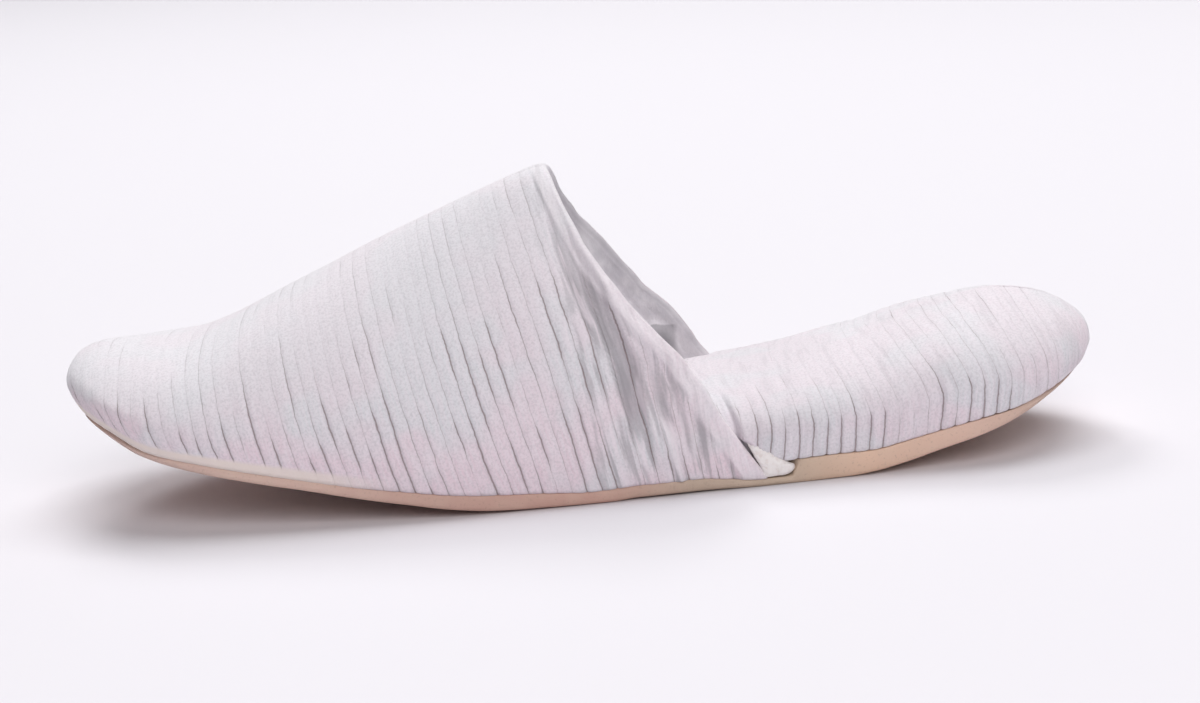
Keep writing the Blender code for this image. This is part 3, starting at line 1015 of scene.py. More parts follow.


# Troughs are sunk into the fabric and darkened with painted shade; ridges are raised and lightened with
# painted highlight.
TROUGHS = (
    # The main trough, from the collar's peak almost to the sole.
    Pleat((
        (12.5, 147.2, 148.2, 0.0), (14.5, 147.0, 149.2, 0.5), (17.0, 146.3, 150.2, 0.8),
        (23.0, 145.6, 150.4, 1.0), (31.0, 144.0, 149.8, 1.0), (38.7, 142.0, 147.2, 1.0),
        (43.6, 140.8, 145.3, 1.0), (49.0, 139.4, 144.0, 0.95), (54.9, 138.4, 142.0, 0.8),
        (58.6, 137.4, 140.2, 0.6), (62.6, 136.8, 138.0, 0.35), (66.0, 135.9, 136.6, 0.0),
    ), 2.3),
    # A shallow one on its toe side.
    Pleat((
        (34.0, 140.8, 141.6, 0.0), (37.1, 139.8, 141.9, 0.5), (39.6, 139.0, 142.0, 0.75),
        (43.9, 137.4, 141.5, 0.9), (48.5, 136.0, 140.7, 1.0), (54.2, 133.8, 139.7, 0.85),
        (61.4, 131.6, 137.0, 0.6), (66.0, 131.0, 134.6, 0.4), (71.5, 130.5, 131.5, 0.0),
    ), 1.1),
    # The sharp line that starts it.
    Pleat((
        (34.0, 140.5, 141.0, 0.0), (37.1, 139.5, 140.1, 0.7), (43.9, 137.8, 138.4, 1.0),
        (51.5, 136.3, 136.9, 0.9), (54.2, 135.5, 136.0, 0.7), (58.0, 134.6, 134.9, 0.3),
        (61.4, 133.4, 133.9, 0.6), (65.3, 132.4, 132.9, 0.7), (71.5, 130.4, 130.7, 0.0),
    ), 0.7, 0.35, 0.35),
    # The sharp line that starts the main trough.
    Pleat((
        (10.0, 147.9, 148.3, 0.0), (14.5, 147.0, 147.5, 0.6), (23.0, 145.3, 145.9, 0.9),
        (31.0, 144.1, 144.7, 0.9), (43.6, 141.5, 142.1, 1.0), (54.9, 139.6, 140.1, 0.8),
        (62.6, 136.7, 137.1, 0.6), (66.0, 135.8, 136.1, 0.0),
    ), 0.7, 0.35, 0.5),
    # A shallow trough on the main trough's heel side: a strip of darker painted shade.
    Pleat((
        (17.5, 149.4, 150.4, 0.0), (24.4, 147.9, 150.6, 0.9), (29.1, 147.8, 151.0, 1.0),
        (33.3, 148.2, 150.8, 0.8), (37.0, 148.4, 149.4, 0.0),
    ), 0.8),
    # The next troughs, one after another towards the heel.
    Pleat((
        (15.0, 156.3, 157.2, 0.0), (20.4, 153.8, 156.2, 0.75), (24.8, 153.0, 155.6, 0.8),
        (29.2, 152.6, 154.8, 0.6), (32.5, 152.2, 154.0, 0.4), (38.0, 151.3, 152.9, 0.0),
    ), 1.5, 1.1, 0.45, 0.0),
    Pleat((
        (8.0, 161.8, 162.6, 0.0), (11.7, 160.3, 161.8, 0.7), (15.9, 159.4, 161.1, 0.9),
        (20.4, 158.3, 159.9, 0.9), (25.2, 157.8, 158.9, 0.6), (30.0, 157.4, 158.0, 0.0),
    ), 1.1),
    Pleat((
        (6.5, 164.2, 165.4, 0.0), (9.9, 163.4, 165.3, 0.7), (13.6, 163.0, 165.2, 0.9),
        (17.4, 162.6, 164.6, 0.8), (22.0, 161.8, 163.0, 0.5), (26.0, 161.0, 162.0, 0.0),
    ), 1.0),
    Pleat((
        (11.0, 167.0, 168.0, 0.0), (13.4, 166.4, 168.0, 0.8), (18.0, 165.7, 167.2, 0.7),
        (21.0, 165.4, 166.2, 0.0),
    ), 0.9),
    Pleat((
        (3.2, 170.2, 171.0, 0.0), (6.0, 169.4, 170.6, 0.6), (9.6, 168.9, 170.0, 0.6),
        (12.5, 168.6, 169.2, 0.0),
    ), 0.7),
    # Short creases near the main trough.
    Pleat((
        (3.0, 149.6, 150.2, 0.0), (5.0, 149.2, 150.0, 0.8), (7.6, 148.8, 149.5, 0.8),
        (10.0, 148.5, 149.0, 0.0),
    ), 0.6, 0.35, 0.45),
    Pleat((
        (7.0, 151.6, 152.2, 0.0), (9.5, 151.3, 152.1, 0.8), (13.0, 150.9, 151.7, 0.9),
        (17.5, 150.2, 150.8, 0.0),
    ), 0.7, 0.4, 0.5),
    Pleat((
        (9.0, 145.2, 145.8, 0.0), (13.0, 144.6, 145.4, 0.7), (18.5, 143.8, 144.7, 0.8),
        (24.5, 143.1, 143.6, 0.0),
    ), 0.7, 0.4, 0.6),
    Pleat((
        (32.5, 136.9, 137.5, 0.0), (37.0, 136.1, 136.8, 0.8), (41.0, 135.4, 135.9, 0.7),
        (45.0, 134.9, 135.2, 0.0),
    ), 0.7, 0.35, 0.5),
)
# Ridges on the fabric: raised, and lightened with painted highlight.
RIDGES = (
    # The loose lip beside the collar's edge.
    Pleat((
        (30.0, 156.0, 160.0, 0.0), (36.0, 151.6, 155.6, 0.7), (43.3, 146.0, 150.2, 1.0),
        (48.3, 144.7, 147.4, 1.0), (51.7, 143.5, 145.6, 1.0), (54.6, 141.2, 143.6, 0.9),
        (59.3, 138.7, 141.0, 0.9), (64.5, 136.8, 138.6, 0.8), (71.0, 134.0, 135.2, 0.5),
        (75.0, 132.0, 133.0, 0.0),
    ), 0.9, 0.8, 1.2, 0.0),
    Pleat((
        (13.0, 152.4, 153.1, 0.0), (14.9, 151.9, 153.1, 0.7), (18.6, 151.1, 152.4, 1.0),
        (22.4, 150.6, 151.6, 0.8), (26.0, 150.3, 151.0, 0.0),
    ), 0.8),
    Pleat((
        (2.5, 157.3, 158.4, 0.0), (5.6, 156.6, 158.4, 0.6), (9.9, 155.8, 157.8, 0.9),
        (14.6, 154.6, 156.8, 1.0), (18.7, 153.4, 155.2, 0.7), (21.5, 153.0, 154.4, 0.0),
    ), 0.9, 0.6, 0.6, 0.0),
    Pleat((
        (22.0, 158.8, 160.4, 0.0), (25.2, 158.9, 160.6, 0.6), (29.7, 157.4, 159.6, 1.0),
        (33.8, 156.4, 158.9, 1.0), (38.0, 155.6, 157.0, 0.0),
    ), 0.7),
    Pleat((
        (5.0, 162.2, 163.2, 0.0), (9.0, 161.9, 163.2, 0.7), (14.0, 161.3, 162.6, 0.8),
        (19.0, 160.4, 161.6, 0.0),
    ), 0.5),
)
# Hollows in the lining: sunk, and darkened with painted shade.
LINING_HOLLOWS = (
    # The hollow under a shelf of loose cloth, above the footbed.
    Pleat((
        (12.0, 148.0, 162.5, 1.0), (22.0, 149.0, 161.4, 1.0), (27.0, 150.5, 160.0, 1.0),
        (28.0, 151.0, 159.4, 0.0),
    ), 2.0, 1.0, 1.0, 0.25),
    Pleat((
        (29.0, 158.0, 161.0, 0.0), (33.0, 155.4, 158.4, 0.5), (37.0, 152.4, 155.6, 0.5),
        (41.0, 149.6, 152.6, 0.0),
    ), 0.6),
    Pleat((
        (38.0, 150.6, 152.4, 0.0), (43.0, 147.2, 149.4, 0.6), (48.5, 144.2, 146.2, 0.7),
        (53.0, 141.2, 143.4, 0.0),
    ), 0.7, 1.0, 1.2),
    Pleat((
        (50.0, 138.6, 142.0, 0.0), (54.5, 137.2, 140.6, 0.9), (58.5, 136.4, 138.8, 0.8),
        (62.0, 134.8, 137.0, 0.0),
    ), 0.8, 1.0, 1.0),
)
# Ridges in the lining: raised, and lightened with painted highlight.
LINING_RIDGES = (
    # The shelf's own edge.
    Pleat((
        (27.4, 150.0, 160.0, 0.0), (28.4, 150.0, 160.0, 1.0), (30.0, 150.0, 159.6, 1.0),
        (33.0, 150.0, 156.4, 0.4), (37.0, 148.0, 153.0, 0.0),
    ), 1.0, 1.5, 1.5, 0.0),
)


@dataclass(frozen=True)
class Cords:
    """The fabric's cords: where they run and how deep each valley is."""

    pitch: float = 3.75
    valley_depth: float = 0.34
    valley_reach: float = 0.40
    roundness: float = 0.10
    patch: float = 11.0
    shut: float = 0.24
    shut_swing: float = 0.5
    opening: Span = (-0.16, 0.80)
    alternate: float = 0.14
    quick_share: float = 0.3
    quick_swing: float = 0.15
    offset: float = 7.3
    seed: int = 11

    def strength(self, cord: Array, run: Array, leaning: Array) -> Array:
        """How open each valley is along its run in millimetres.

        Args:
            cord: place across the cords.
            run: place along them.
            leaning: how much the fabric here leans towards open valleys.

        Returns:
            0 for a closed valley to 1 for an open one.
        """
        valley = np.round(cord)
        start = self.offset * cell_chance(self.seed + 3, valley)
        slow = wander(self.seed, run / self.patch + start, valley)
        quick = wander(self.seed + 1, run / (self.quick_share * self.patch), valley)
        own = cell_chance(self.seed + 2, valley) - 0.5
        chosen = np.where(valley % 2 == 0, self.alternate, -self.alternate)
        opened = between(*self.opening, slow + chosen + 0.5 * own + leaning)
        shut = self.shut * (1.0 + own + self.shut_swing * quick)
        return np.clip(shut + opened * (1.0 - self.quick_swing + self.quick_swing * quick), 0.0, 1.0)

    def relief(self, cord: Array, strength: Array) -> Array:
        """Height of the corded face above its base, in millimetres.

        Args:
            cord: place across the cords.
            strength: how open each valley is.

        Returns:
            The height for each place.
        """
        off = np.abs(cord - np.round(cord)) * self.pitch
        valley = np.exp(-((off / self.valley_reach) ** 2))
        swell = 0.5 - 0.5 * np.cos(2.0 * math.pi * cord)
        return self.roundness * swell * (0.4 + 0.6 * strength) - self.valley_depth * valley * strength


# --- pieces ---


@dataclass
class Face:
    """A face of the upper before it is dressed, over both sides of the slipper."""

    points: Array
    shares: Array  # how far each point's section lies from the toe (0) to the collar (1)
    lifts: Array  # how far each point lies up its section
    normals: Array
    run: Array  # distance along the section from the middle line

    @property
    def edge(self) -> Array:
        """Points of the collar's edge."""
        return self.points[-1]

    @property
    def onward(self) -> Array:
        """Unit directions in which the collar's edge would run on.

        Returns:
            A direction for each of its points.
        """
        normal = self.normals[-1]
        onward = self.edge - self.points[-2]
        onward -= normal * np.sum(onward * normal, axis=-1, keepdims=True)
        return onward / np.linalg.norm(onward, axis=-1, keepdims=True)


@dataclass
class Upper:
    """Corded upper with its turned collar and lining, as one shell."""

    last: Last
    cords: Cords = field(default_factory=Cords)
    spacing: float = 0.36
    rows: int = 60
    lining_columns: int = 110
    lining_reach: float = 0.03
    lining_pace: float = 1.35
    hem_columns: int = 8
    hem_width: float = 3.6
    hem_rise: float = 0.75
    hem_wall: float = 2.5
    hem_bulge: float = 0.42
    seating: float = 0.28
    turn_in: float = 1.6
    toe_turn_in: float = 3.2
    toe_settle: float = 1.0
    toe_draw: float = 1.1
    crown_soften: float = 5.0
    crown_reach: float = 13.0
    far_side_shift: float = 1.2
    far_side_lift: float = 1.5
    lip_shade: float = 0.3
    band_height: Span = (1.9, 2.9)
    band_end: Span = (66.0, 92.0)
    hem_edge: Span = (1.25, 0.85)  # in hem widths from the collar
    hem_flat: Span = (0.75, 0.95)  # up a section, where the hem flattens over the instep
    up: Span = (0.30, 0.82)  # upward part of a normal
    low: Span = (3.0, 22.0)
    tail: Span = (128.0, 150.0)
    toe_quiet: Span = (18.0, 60.0)
    gathered: Span = (126.0, 142.0)
    lean_level: float = 20.0
    draw_level: float = 8.0
    far_side: Span = (3.0, 12.0)
    cord_wander: Ripple = Ripple(31, 0.26, 9.0, 13.0)
    cord_shake: Ripple = Ripple(32, 0.12, 3.0, 4.0)
    edge_sway: Ripple = Ripple(41, 0.75, 7.5)
    edge_shake: Ripple = Ripple(42, 0.4, 3.4)
    edge_slack: Ripple = Ripple(44, 0.8, 8.0)
    edge_crimp: Ripple = Ripple(45, 0.45, 3.6)
    pleat_wander: Ripple = Ripple(43, 0.3, 5.0)
    loose_cloth: Ripple = Ripple(51, 0.32, 17.0, 24.0)
    lining_wrinkle: Ripple = Ripple(61, 0.55, 8.0, 7.0)
    lining_crimp: Ripple = Ripple(62, 0.3, 3.2, 3.4)
    lean_rows: tuple = (
        # along, lean of the cords in degrees
        (0.0, 9.0), (30.0, 11.0), (70.0, 14.5), (120.0, 15.5), (140.0, 11.5), (156.0, 9.0), (180.0, 6.0),
    )
    drawn_rows: tuple = (
        # along, how far the cords are drawn forward under the toe
        (0.0, 1.1), (18.0, 1.0), (28.0, 0.55), (36.0, 0.28), (58.0, 0.0),
    )
    left_slack_rows: tuple = (
        # height, how far the collar's edge falls short
        (40.0, 0.0), (52.0, 0.8), (62.0, 1.1), (70.0, 0.9), (78.0, 0.0),
    )
    right_slack_rows: tuple = (
        (28.0, 0.0), (36.0, 0.7), (46.0, 2.0), (60.0, 2.6), (70.0, 1.8), (78.0, 0.0),
    )

    def cord_place(self, points: Array) -> Array:
        """Measure across the cords, in cords from the toe.

        The cords lean towards the toe as they rise, less so near the tail, and the
        fabric is drawn forward under the toe.

        Args:
            points: places on the fabric.

        Returns:
            Whole numbers in the valleys and halves on the cords between them.
        """
        along, _, height = np.moveaxis(points, -1, 0)
        place = along + np.tan(np.radians(read_off(self.lean_rows, along))) * (height - self.lean_level)
        above, level = height - self.last.foot(along), self.draw_level
        place -= read_off(self.drawn_rows, along) * np.clip(level - above, 0.0, level) ** 2 / (2.0 * level)
        place += self.cord_wander.over(along, height)
        place += self.cord_shake.over(along, height)
        return place / self.cords.pitch

    def collar_sway(self, face: Face) -> Array:
        """How far the soft collar edge stands off its true line.

        Args:
            face: the face that sways.

        Returns:
            Millimetres along its normals.
        """
        height, side = face.points[..., 2], np.sign(face.points[..., 1])
        sway = self.edge_sway.over(height, side) + self.edge_shake.over(height, side)
        return between(0.90, 1.0, face.shares) * sway

    def collar_slack(self, face: Face, outer: Face) -> Array:
        """How a face's points follow the collar's edge, which runs short of its true line.

        Args:
            face: the face that follows.
            outer: the outer face, whose edge leads.

        Returns:
            A shift for each point.
        """
        height, side = outer.edge[..., 2], np.sign(outer.edge[..., 1])
        held = between(4.0, 14.0, height) * between(79.0, 70.0, height)
        loose = self.edge_slack.over(height, side) + self.edge_crimp.over(height, side)
        rows = (read_off(self.right_slack_rows, height), read_off(self.left_slack_rows, height))
        slack = held * loose - np.where(side > 0.0, *rows)
        return outer.onward * (between(0.93, 1.0, face.shares) * slack)[..., None]

    def face(self, share: Array, closed: bool) -> Face:
        """Lay out the outer face, or the inside in its place.

        Args:
            share: the sections, from 0 at the toe to 1 at the collar.
            closed: whether the first section is the toe's tip.

        Returns:
            The bare face.
        """
        lift = np.linspace(0.0, 1.0, self.rows + 1)
        shares, lifts = np.meshgrid(share, lift, indexing="ij")
        points = self.rounded_crown(both_sides(self.last.upper_face(shares, lifts)))
        run = run_across(points)
        run -= run[:, [self.rows]]
        normals = Weave(points, closed_front=closed).normals(self.last)
        return Face(points, mirrored(shares), mirrored(lifts), normals, run)

    def rounded_crown(self, points: Array) -> Array:
        """Round the fabric over the middle line, keeping the crown's height.

        Args:
            points: the face over both sides.

        Returns:
            The rounded face.
        """
        across, height = points[..., 1], points[..., 2]
        weight = np.exp(-0.5 * ((across[:, :, None] - across[:, None, :]) / self.crown_soften) ** 2)
        weight *= np.abs(np.gradient(across, axis=1))[:, None, :] + 1e-6
        softened = np.sum(weight * height[:, None, :], axis=-1) / np.sum(weight, axis=-1)
        middle = [points.shape[1] // 2]
        near = np.exp(-((across / self.crown_reach) ** 2)) * between(36.0, 78.0, points[:, middle, 0])
        lost = (height - softened)[:, middle]
        rounded = points.copy()
        rounded[..., 2] = height + near * (softened - height + lost)
        return rounded

    def pleated(self, pleats: Sequence[Pleat], points: Array, main_side: Side) -> tuple[Array, Array]:
        """Work out some pleats, which fall a little otherwise on the slipper's other side.

        Args:
            pleats: the troughs or the ridges.
            points: the bare face.
            main_side: the side that they were set out on.

        Returns:
            Their summed depth in millimetres and how strongly they show, from 0 to 1, which is
            the share of painted shade for troughs and hollows and of painted highlight for ridges.
        """
        along, across, height = np.moveaxis(points, -1, 0)
        other = across * main_side.value < 0.0
        along = along - np.where(other, self.far_side_shift, 0.0)
        along = along + self.pleat_wander.over(height, other + 0.0)
        height = height + np.where(other, self.far_side_lift, 0.0)
        depth, hidden = np.zeros_like(along), np.ones_like(along)
        for pleat in pleats:
            presence = pleat.presence(along, height)
            depth += pleat.depth * presence
            hidden *= 1.0 - np.clip(presence, 0.0, 0.98)
        return depth, 1.0 - hidden

    def outside(self, face: Face) -> tuple[Array, dict[str, Array]]:
        """Dress the outer face with cords, pleats, loose cloth and the raised hem.

        Args:
            face: the bare face.

        Returns:
            Its points and the measures that its finish reads.
        """
        last, points, normals = self.last, face.points, face.normals
        along, height = points[..., 0], points[..., 2]
        cord = self.cord_place(points)
        above = height - last.foot(along)
        band = (1.0 - between(*self.band_height, above)) * (1.0 - between(*self.band_end, along))
        hem_start, hem_full = (1.0 - part * self.hem_width / last.tail for part in self.hem_edge)
        hem = between(hem_start, hem_full, face.shares)
        hem = hem * blend(1.0, 0.35, between(*self.hem_flat, face.lifts))
        facing_up = between(*self.up, normals[..., 2])
        low, tail = 1.0 - between(*self.low, above), between(*self.tail, along)
        # Valleys, and their painted shade, are fainter where the fabric faces up and at the tail, stronger
        # low down.
        strength = self.cords.strength(cord, face.run, 0.30 * low - 0.25 * facing_up - 0.35 * tail)
        strength *= blend(1.0, 0.25, facing_up) * (1.0 - band) * (1.0 - hem)
        strength *= blend(0.75, 1.0, between(*self.toe_quiet, along))
        gather = between(*self.gathered, along + 0.12 * (height - 30.0)) * (1.0 - 0.7 * hem)

        trough, shade = self.pleated(TROUGHS, points, Side.LEFT)
        ridge, lit = self.pleated(RIDGES, points, Side.LEFT)
        loose = self.loose_cloth.over(along, face.run) * (1.0 - 0.5 * band)
        rise = self.cords.relief(cord, strength) + (ridge - trough) + loose + self.hem_rise * hem
        rise -= self.toe_settle * between(8.0, 22.0, along) * between(64.0, 36.0, along) * facing_up
        rise -= self.toe_draw * between(0.45, 0.95, -normals[..., 0]) * between(40.0, 20.0, along)
        rise = np.where(face.lifts <= 0.0, np.minimum(rise, 0.4), rise)
        strands = rumple(52, cord * 1.5, face.run / 14.0) + 0.6 * rumple(53, cord * 2.7, face.run / 9.0)
        rise += 0.36 * gather * strands * (1.0 - band)
        dressed = points + normals * (rise + self.collar_sway(face))[..., None]
        dressed += self.collar_slack(face, face)
        dressed[:, self.rows, 1] = 0.0
        dressed[..., 2] -= self.seating * (1.0 - between(0.0, 3.0, above))
        dressed[..., 2] = np.maximum(dressed[..., 2], last.foot(along) - self.seating)
        return dressed, {
            "cord": cord,
            "valley": strength,
            "girth": face.run,
            "band": band,
            "gather": gather,
            # Painted top light: share of the paler tone, growing as the fabric faces up.
            "crown": between(0.05, 0.75, normals[..., 2]),
            "reach": along,
            # Painted shade in the troughs; painted highlight on the ridges and the hem.
            "fold": shade * (1.0 - hem),
            "lit": np.maximum(lit, 0.8 * hem),
        }

    def hem(self, edge: Array, outer: Face) -> Array:
        """Turn the collar's dressed edge over to the inside, in half a circle.

        Args:
            edge: the dressed edge.
            outer: the bare outer face.

        Returns:
            The hem's columns, from the outside in.
        """
        normal = outer.normals[-1]
        turn = np.linspace(0.0, math.pi, self.hem_columns + 1)[1:, None, None]
        centre = edge - normal * 0.5 * self.hem_wall
        inwards = normal * (0.5 * self.hem_wall * np.cos(turn))
        return centre + inwards + outer.onward * (self.hem_bulge * self.hem_wall * np.sin(turn))

    def inside(self, outer: Face) -> tuple[Array, dict[str, Array]]:
        """Dress the lining from the collar back to the toe.

        Args:
            outer: the bare outer face.

        Returns:
            Its points and the measures that its finish reads.
        """
        inward = np.linspace(0.0, 1.0, self.lining_columns + 1)[1:] ** self.lining_pace
        face = self.face(1.0 - (1.0 - self.lining_reach) * inward, closed=False)
        points, shares, along = face.points, face.shares, face.points[..., 0]
        wrinkle = self.lining_wrinkle.over(along, face.run) + self.lining_crimp.over(along, face.run)
        hollow, shade = self.pleated(LINING_HOLLOWS, points, Side.RIGHT)
        shelf, lit = self.pleated(LINING_RIDGES, points, Side.RIGHT)
        trough, _ = self.pleated(TROUGHS, points, Side.LEFT)
        settle = between(1.0, 0.97, shares)
        far = between(*self.far_side, outer.edge[:, 1])
        beside_hem = between(0.965, 0.985, shares) * between(1.0, 0.992, shares)
        lip_shade = self.lip_shade * blend(beside_hem, between(0.976, 0.988, shares), far)
        depth = -self.last.wall + settle * (wrinkle + shelf - hollow - trough * 0.9)
        at_hem = self.hem_rise - (self.hem_wall - self.last.wall) + self.collar_sway(face)
        depth += (1.0 - settle) * at_hem
        dressed = points - face.normals * depth[..., None] + self.collar_slack(face, outer)
        dressed[:, self.rows, 1] = 0.0
        # Painted shade in the lining's hollows and along the hem; painted highlight on its shelf.
        shade = np.maximum(shade * settle, lip_shade)
        return dressed, {"girth": face.run, "reach": along, "fold": shade, "lit": lit * settle}

    def build(self) -> bpy.types.Mesh:
        """Build the shell: outer face, hem and lining in one, turned in along its lower edge.

        Returns:
            The mesh, whose second material starts inside the hem.
        """
        last = self.last
        turns = even_turns(last, ((0.0, self.spacing), (last.tail_turn, self.spacing)))
        outer = self.face(turns / last.tail_turn, closed=True)
        outside, measures = self.outside(outer)
        inside, inner_measures = self.inside(outer)
        far = between(*self.far_side, outer.edge[:, 1])
        # On the hem: painted highlight on the near side's roll, painted shade on the far side's.
        on_hem = {"valley": 0.0, "gather": 0.3, "lit": 1.0 - far}
        for name, values in measures.items():
            hem = np.repeat(values[[-1]] * on_hem.get(name, 1.0), self.hem_columns, axis=0)
            if name == "fold":
                hem[:] = 0.5 * far
            inner = inner_measures.get(name, np.zeros(inside.shape[:2]))
            measures[name] = np.pad(np.concatenate([values, hem, inner]), ((0, 0), (1, 1)), "edge")

        whole = np.concatenate([outside, self.hem(outside[-1], outer), inside])
        whole = np.pad(whole, ((0, 0), (1, 1), (0, 0)), "edge")
        lined_from = len(turns) + self.hem_columns // 2
        reach = self.turn_in + self.toe_turn_in * (1.0 - between(3.0, 40.0, last.outline(turns)[0]))
        drawn = np.zeros((2, len(whole)))
        drawn[:, : len(turns)] = np.array(last.outward(turns)) * reach
        drawn[:, len(turns) : lined_from] = drawn[:, [len(turns) - 1]]
        for row, side in ((0, Side.LEFT), (-1, Side.RIGHT)):
            whole[:, row, 0] -= drawn[0]
            whole[:, row, 1] -= side.value * drawn[1]

        mesh = Weave(whole, closed_front=True).mesh("upper", last, measures=measures)
        columns = np.arange(len(mesh.polygons)) // (whole.shape[1] - 1)
        mesh.polygons.foreach_set("material_index", (columns >= lined_from).astype(np.int32))
        return mesh

    def dress(self, velour: bpy.types.Material, lining: bpy.types.Material) -> bpy.types.Object:
        """Build the shell, give it its finishes and put it on the slipper.

        Args:
            velour: finish of the outer face and the collar.
            lining: finish of the inside.

        Returns:
            The new piece.
        """
        piece = put_on_body("upper_shell", self.build(), velour, lining)
        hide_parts("upper")
        return piece


@dataclass
class Footbed:
    """Padded footbed with a corded cover, crowned over its foam."""

    last: Last
    cords: Cords = field(default_factory=lambda: Cords(pitch=3.6, seed=71, valley_depth=0.36, patch=9.0))
    spacing: float = 0.36
    front_spacing: float = 1.6
    front_end: float = 118.0
    wall_rows: int = 10
    dome_rows: int = 38
    spine_evening: float = 0.15
    dome_fullness: float = 2.2
    heel_fullness: float = 2.4
    side_share: float = 0.74
    base_gap: float = 0.12
    edge_gap: float = 0.08
    edge_round: float = 0.35
    above_foot: float = 3.0
    plump: float = 1.1
    top_bow: float = 4.5
    bow_reach: float = 38.0
    edge_slant: float = 0.26
    upright: float = 9.0
    emerging: Span = (-1.3, 0.6)
    heel: Span = (232.0, 256.0)
    heel_tip: Span = (249.0, 262.0)
    arch: Span = (214.0, 190.0)
    slanted: Span = (180.0, 214.0)
    cord_wander: Ripple = Ripple(81, 0.26, 9.0, 11.0)
    cord_shake: Ripple = Ripple(82, 0.12, 3.0, 4.0)
    puff: Ripple = Ripple(91, 0.35, 21.0, 19.0)
    edge_rows: tuple = (
        # height, along where the upper or its felt ends
        (0.0, 186.4), (4.4, 186.4), (5.4, 184.2), (6.8, 181.6), (8.8, 178.6),
        (11.0, 175.4), (14.0, 171.6), (20.0, 167.4), (27.0, 163.4), (39.0, 154.6),
    )
    rows: tuple = (
        # along, side, depth
        (0.0, 2.5, 4.0), (32.0, 4.0, 6.5), (62.0, 5.5, 8.5), (102.0, 7.0, 10.5),
        (142.0, 8.5, 13.7), (171.0, 9.0, 16.6), (188.0, 9.6, 18.3), (205.5, 10.4, 22.0),
        (222.5, 10.2, 23.3), (239.5, 8.2, 23.1), (251.5, 5.6, 20.2), (266.5, 4.0, 13.5),
    )

    def __post_init__(self) -> None:
        """Read the table of the pad's side and depth."""
        self.side_at, self.depth_at = readings(self.rows)

    def spine(self, turn: Array) -> Array:
        """Place on the middle line that a section runs to, spaced more evenly than the sole's.

        Args:
            turn: turns of the outline.

        Returns:
            Places along the slipper.
        """
        inset = self.last.spine_inset
        even = inset + (self.last.length - 2.0 * inset) * turn
        return blend(self.last.spine(turn), even, self.spine_evening)

    def floor(self, along: Array) -> Array:
        """Height of the sole's top, with the pad's own gap."""
        return self.last.sole_top(along) + self.base_gap

    def clearance(self, turn: Array, height: Array) -> Array:
        """How far the pad stands in from the outline inside the upper.

        Args:
            turn: turns of the outline.
            height: heights above the foot of the upper.

        Returns:
            A distance for each turn.
        """
        last = self.last
        share = np.minimum(turn / last.tail_turn, 1.0)
        along, across = last.outline(turn)
        ridge = last.ridge(share)
        foot = last.foot(np.minimum(along, last.tail))
        rise = np.clip(height / (last.crown(ridge) - foot), 0.0, 1.0)
        power = last.fullness(ridge)
        reach = (1.0 - rise**power) ** (1.0 / power)
        return np.hypot(along - ridge, across) * (1.0 - reach) + last.wall + 2.0 * last.clearance

    def wall_row(self, turn: Array, rise: Array, rounded: float) -> Array:
        """Row of the side wall.

        Args:
            turn: turns of the outline.
            rise: height above the pad's underside.
            rounded: how far the row is drawn in for the rounded lower edge.

        Returns:
            The row's points.
        """
        here, _ = self.last.outline(turn)
        heights, edges = zip(*self.edge_rows)
        edge = np.interp(self.floor(here) + rise, heights, edges)
        covered = 1.0 - between(*self.emerging, here - edge)
        distance = self.last.drawn_in(here, rise) + covered * self.clearance(turn, rise + self.above_foot)
        along, across = self.last.inset(turn, distance + rounded)
        return np.stack([along, across, self.floor(along) + rise], axis=-1)

    def sections(self, turn: Array) -> tuple[Array, Array]:
        """Rows of the right-hand side from the lower edge to the middle line.

        Args:
            turn: turns of the outline.

        Returns:
            Points, and how far each row lies up the side wall (above 1 on the dome).
        """
        side = self.side_share * self.side_at(self.last.outline(turn)[0])
        wall = np.linspace(0.0, 1.0, self.wall_rows + 1)
        rows = [self.wall_row(turn, 0.0 * side, self.edge_round)]
        rows += [self.wall_row(turn, blend(self.edge_round, side, share), 0.0) for share in wall]
        shoulder_along, shoulder_across, _ = rows[-1].T
        spine = self.spine(turn)
        power = 2.0 / blend(self.dome_fullness, self.heel_fullness, between(0.80, 0.97, turn))
        for row in range(1, self.dome_rows + 1):
            angle = 0.5 * math.pi * row / self.dome_rows
            rise = math.sin(angle) ** power
            reach = max(math.cos(angle), 0.0) ** power
            along = blend(spine, shoulder_along, reach)
            across = shoulder_across * (reach if row < self.dome_rows else 0.0)
            low, high = self.side_share * self.side_at(along), self.depth_at(along) + self.plump
            rows.append(np.stack([along, across, self.floor(along) + blend(low, high, rise)], axis=-1))
        ups = np.concatenate([[0.0], wall, 1.0 + np.arange(1, self.dome_rows + 1) / self.dome_rows])
        return np.stack(rows, axis=1), ups

    def cord_place(self, points: Array, above: Array) -> Array:
        """Measure across the cords: upright on the side walls, bowed to the toe over the top.

        Args:
            points: places on the pad.
            above: their heights above the sole.

        Returns:
            Whole numbers in the valleys.
        """
        along, across, height = np.moveaxis(points, -1, 0)
        rise = np.maximum(above - self.upright, 0.0)
        bow = self.top_bow * (1.0 - (across / self.bow_reach) ** 2)
        slant = self.edge_slant * rise * between(*self.slanted, along)
        place = along - 0.08 * np.minimum(above, 14.0) + slant + bow
        place += self.cord_wander.over(along, across + height)
        place += self.cord_shake.over(along, across - height)
        return place / self.cords.pitch

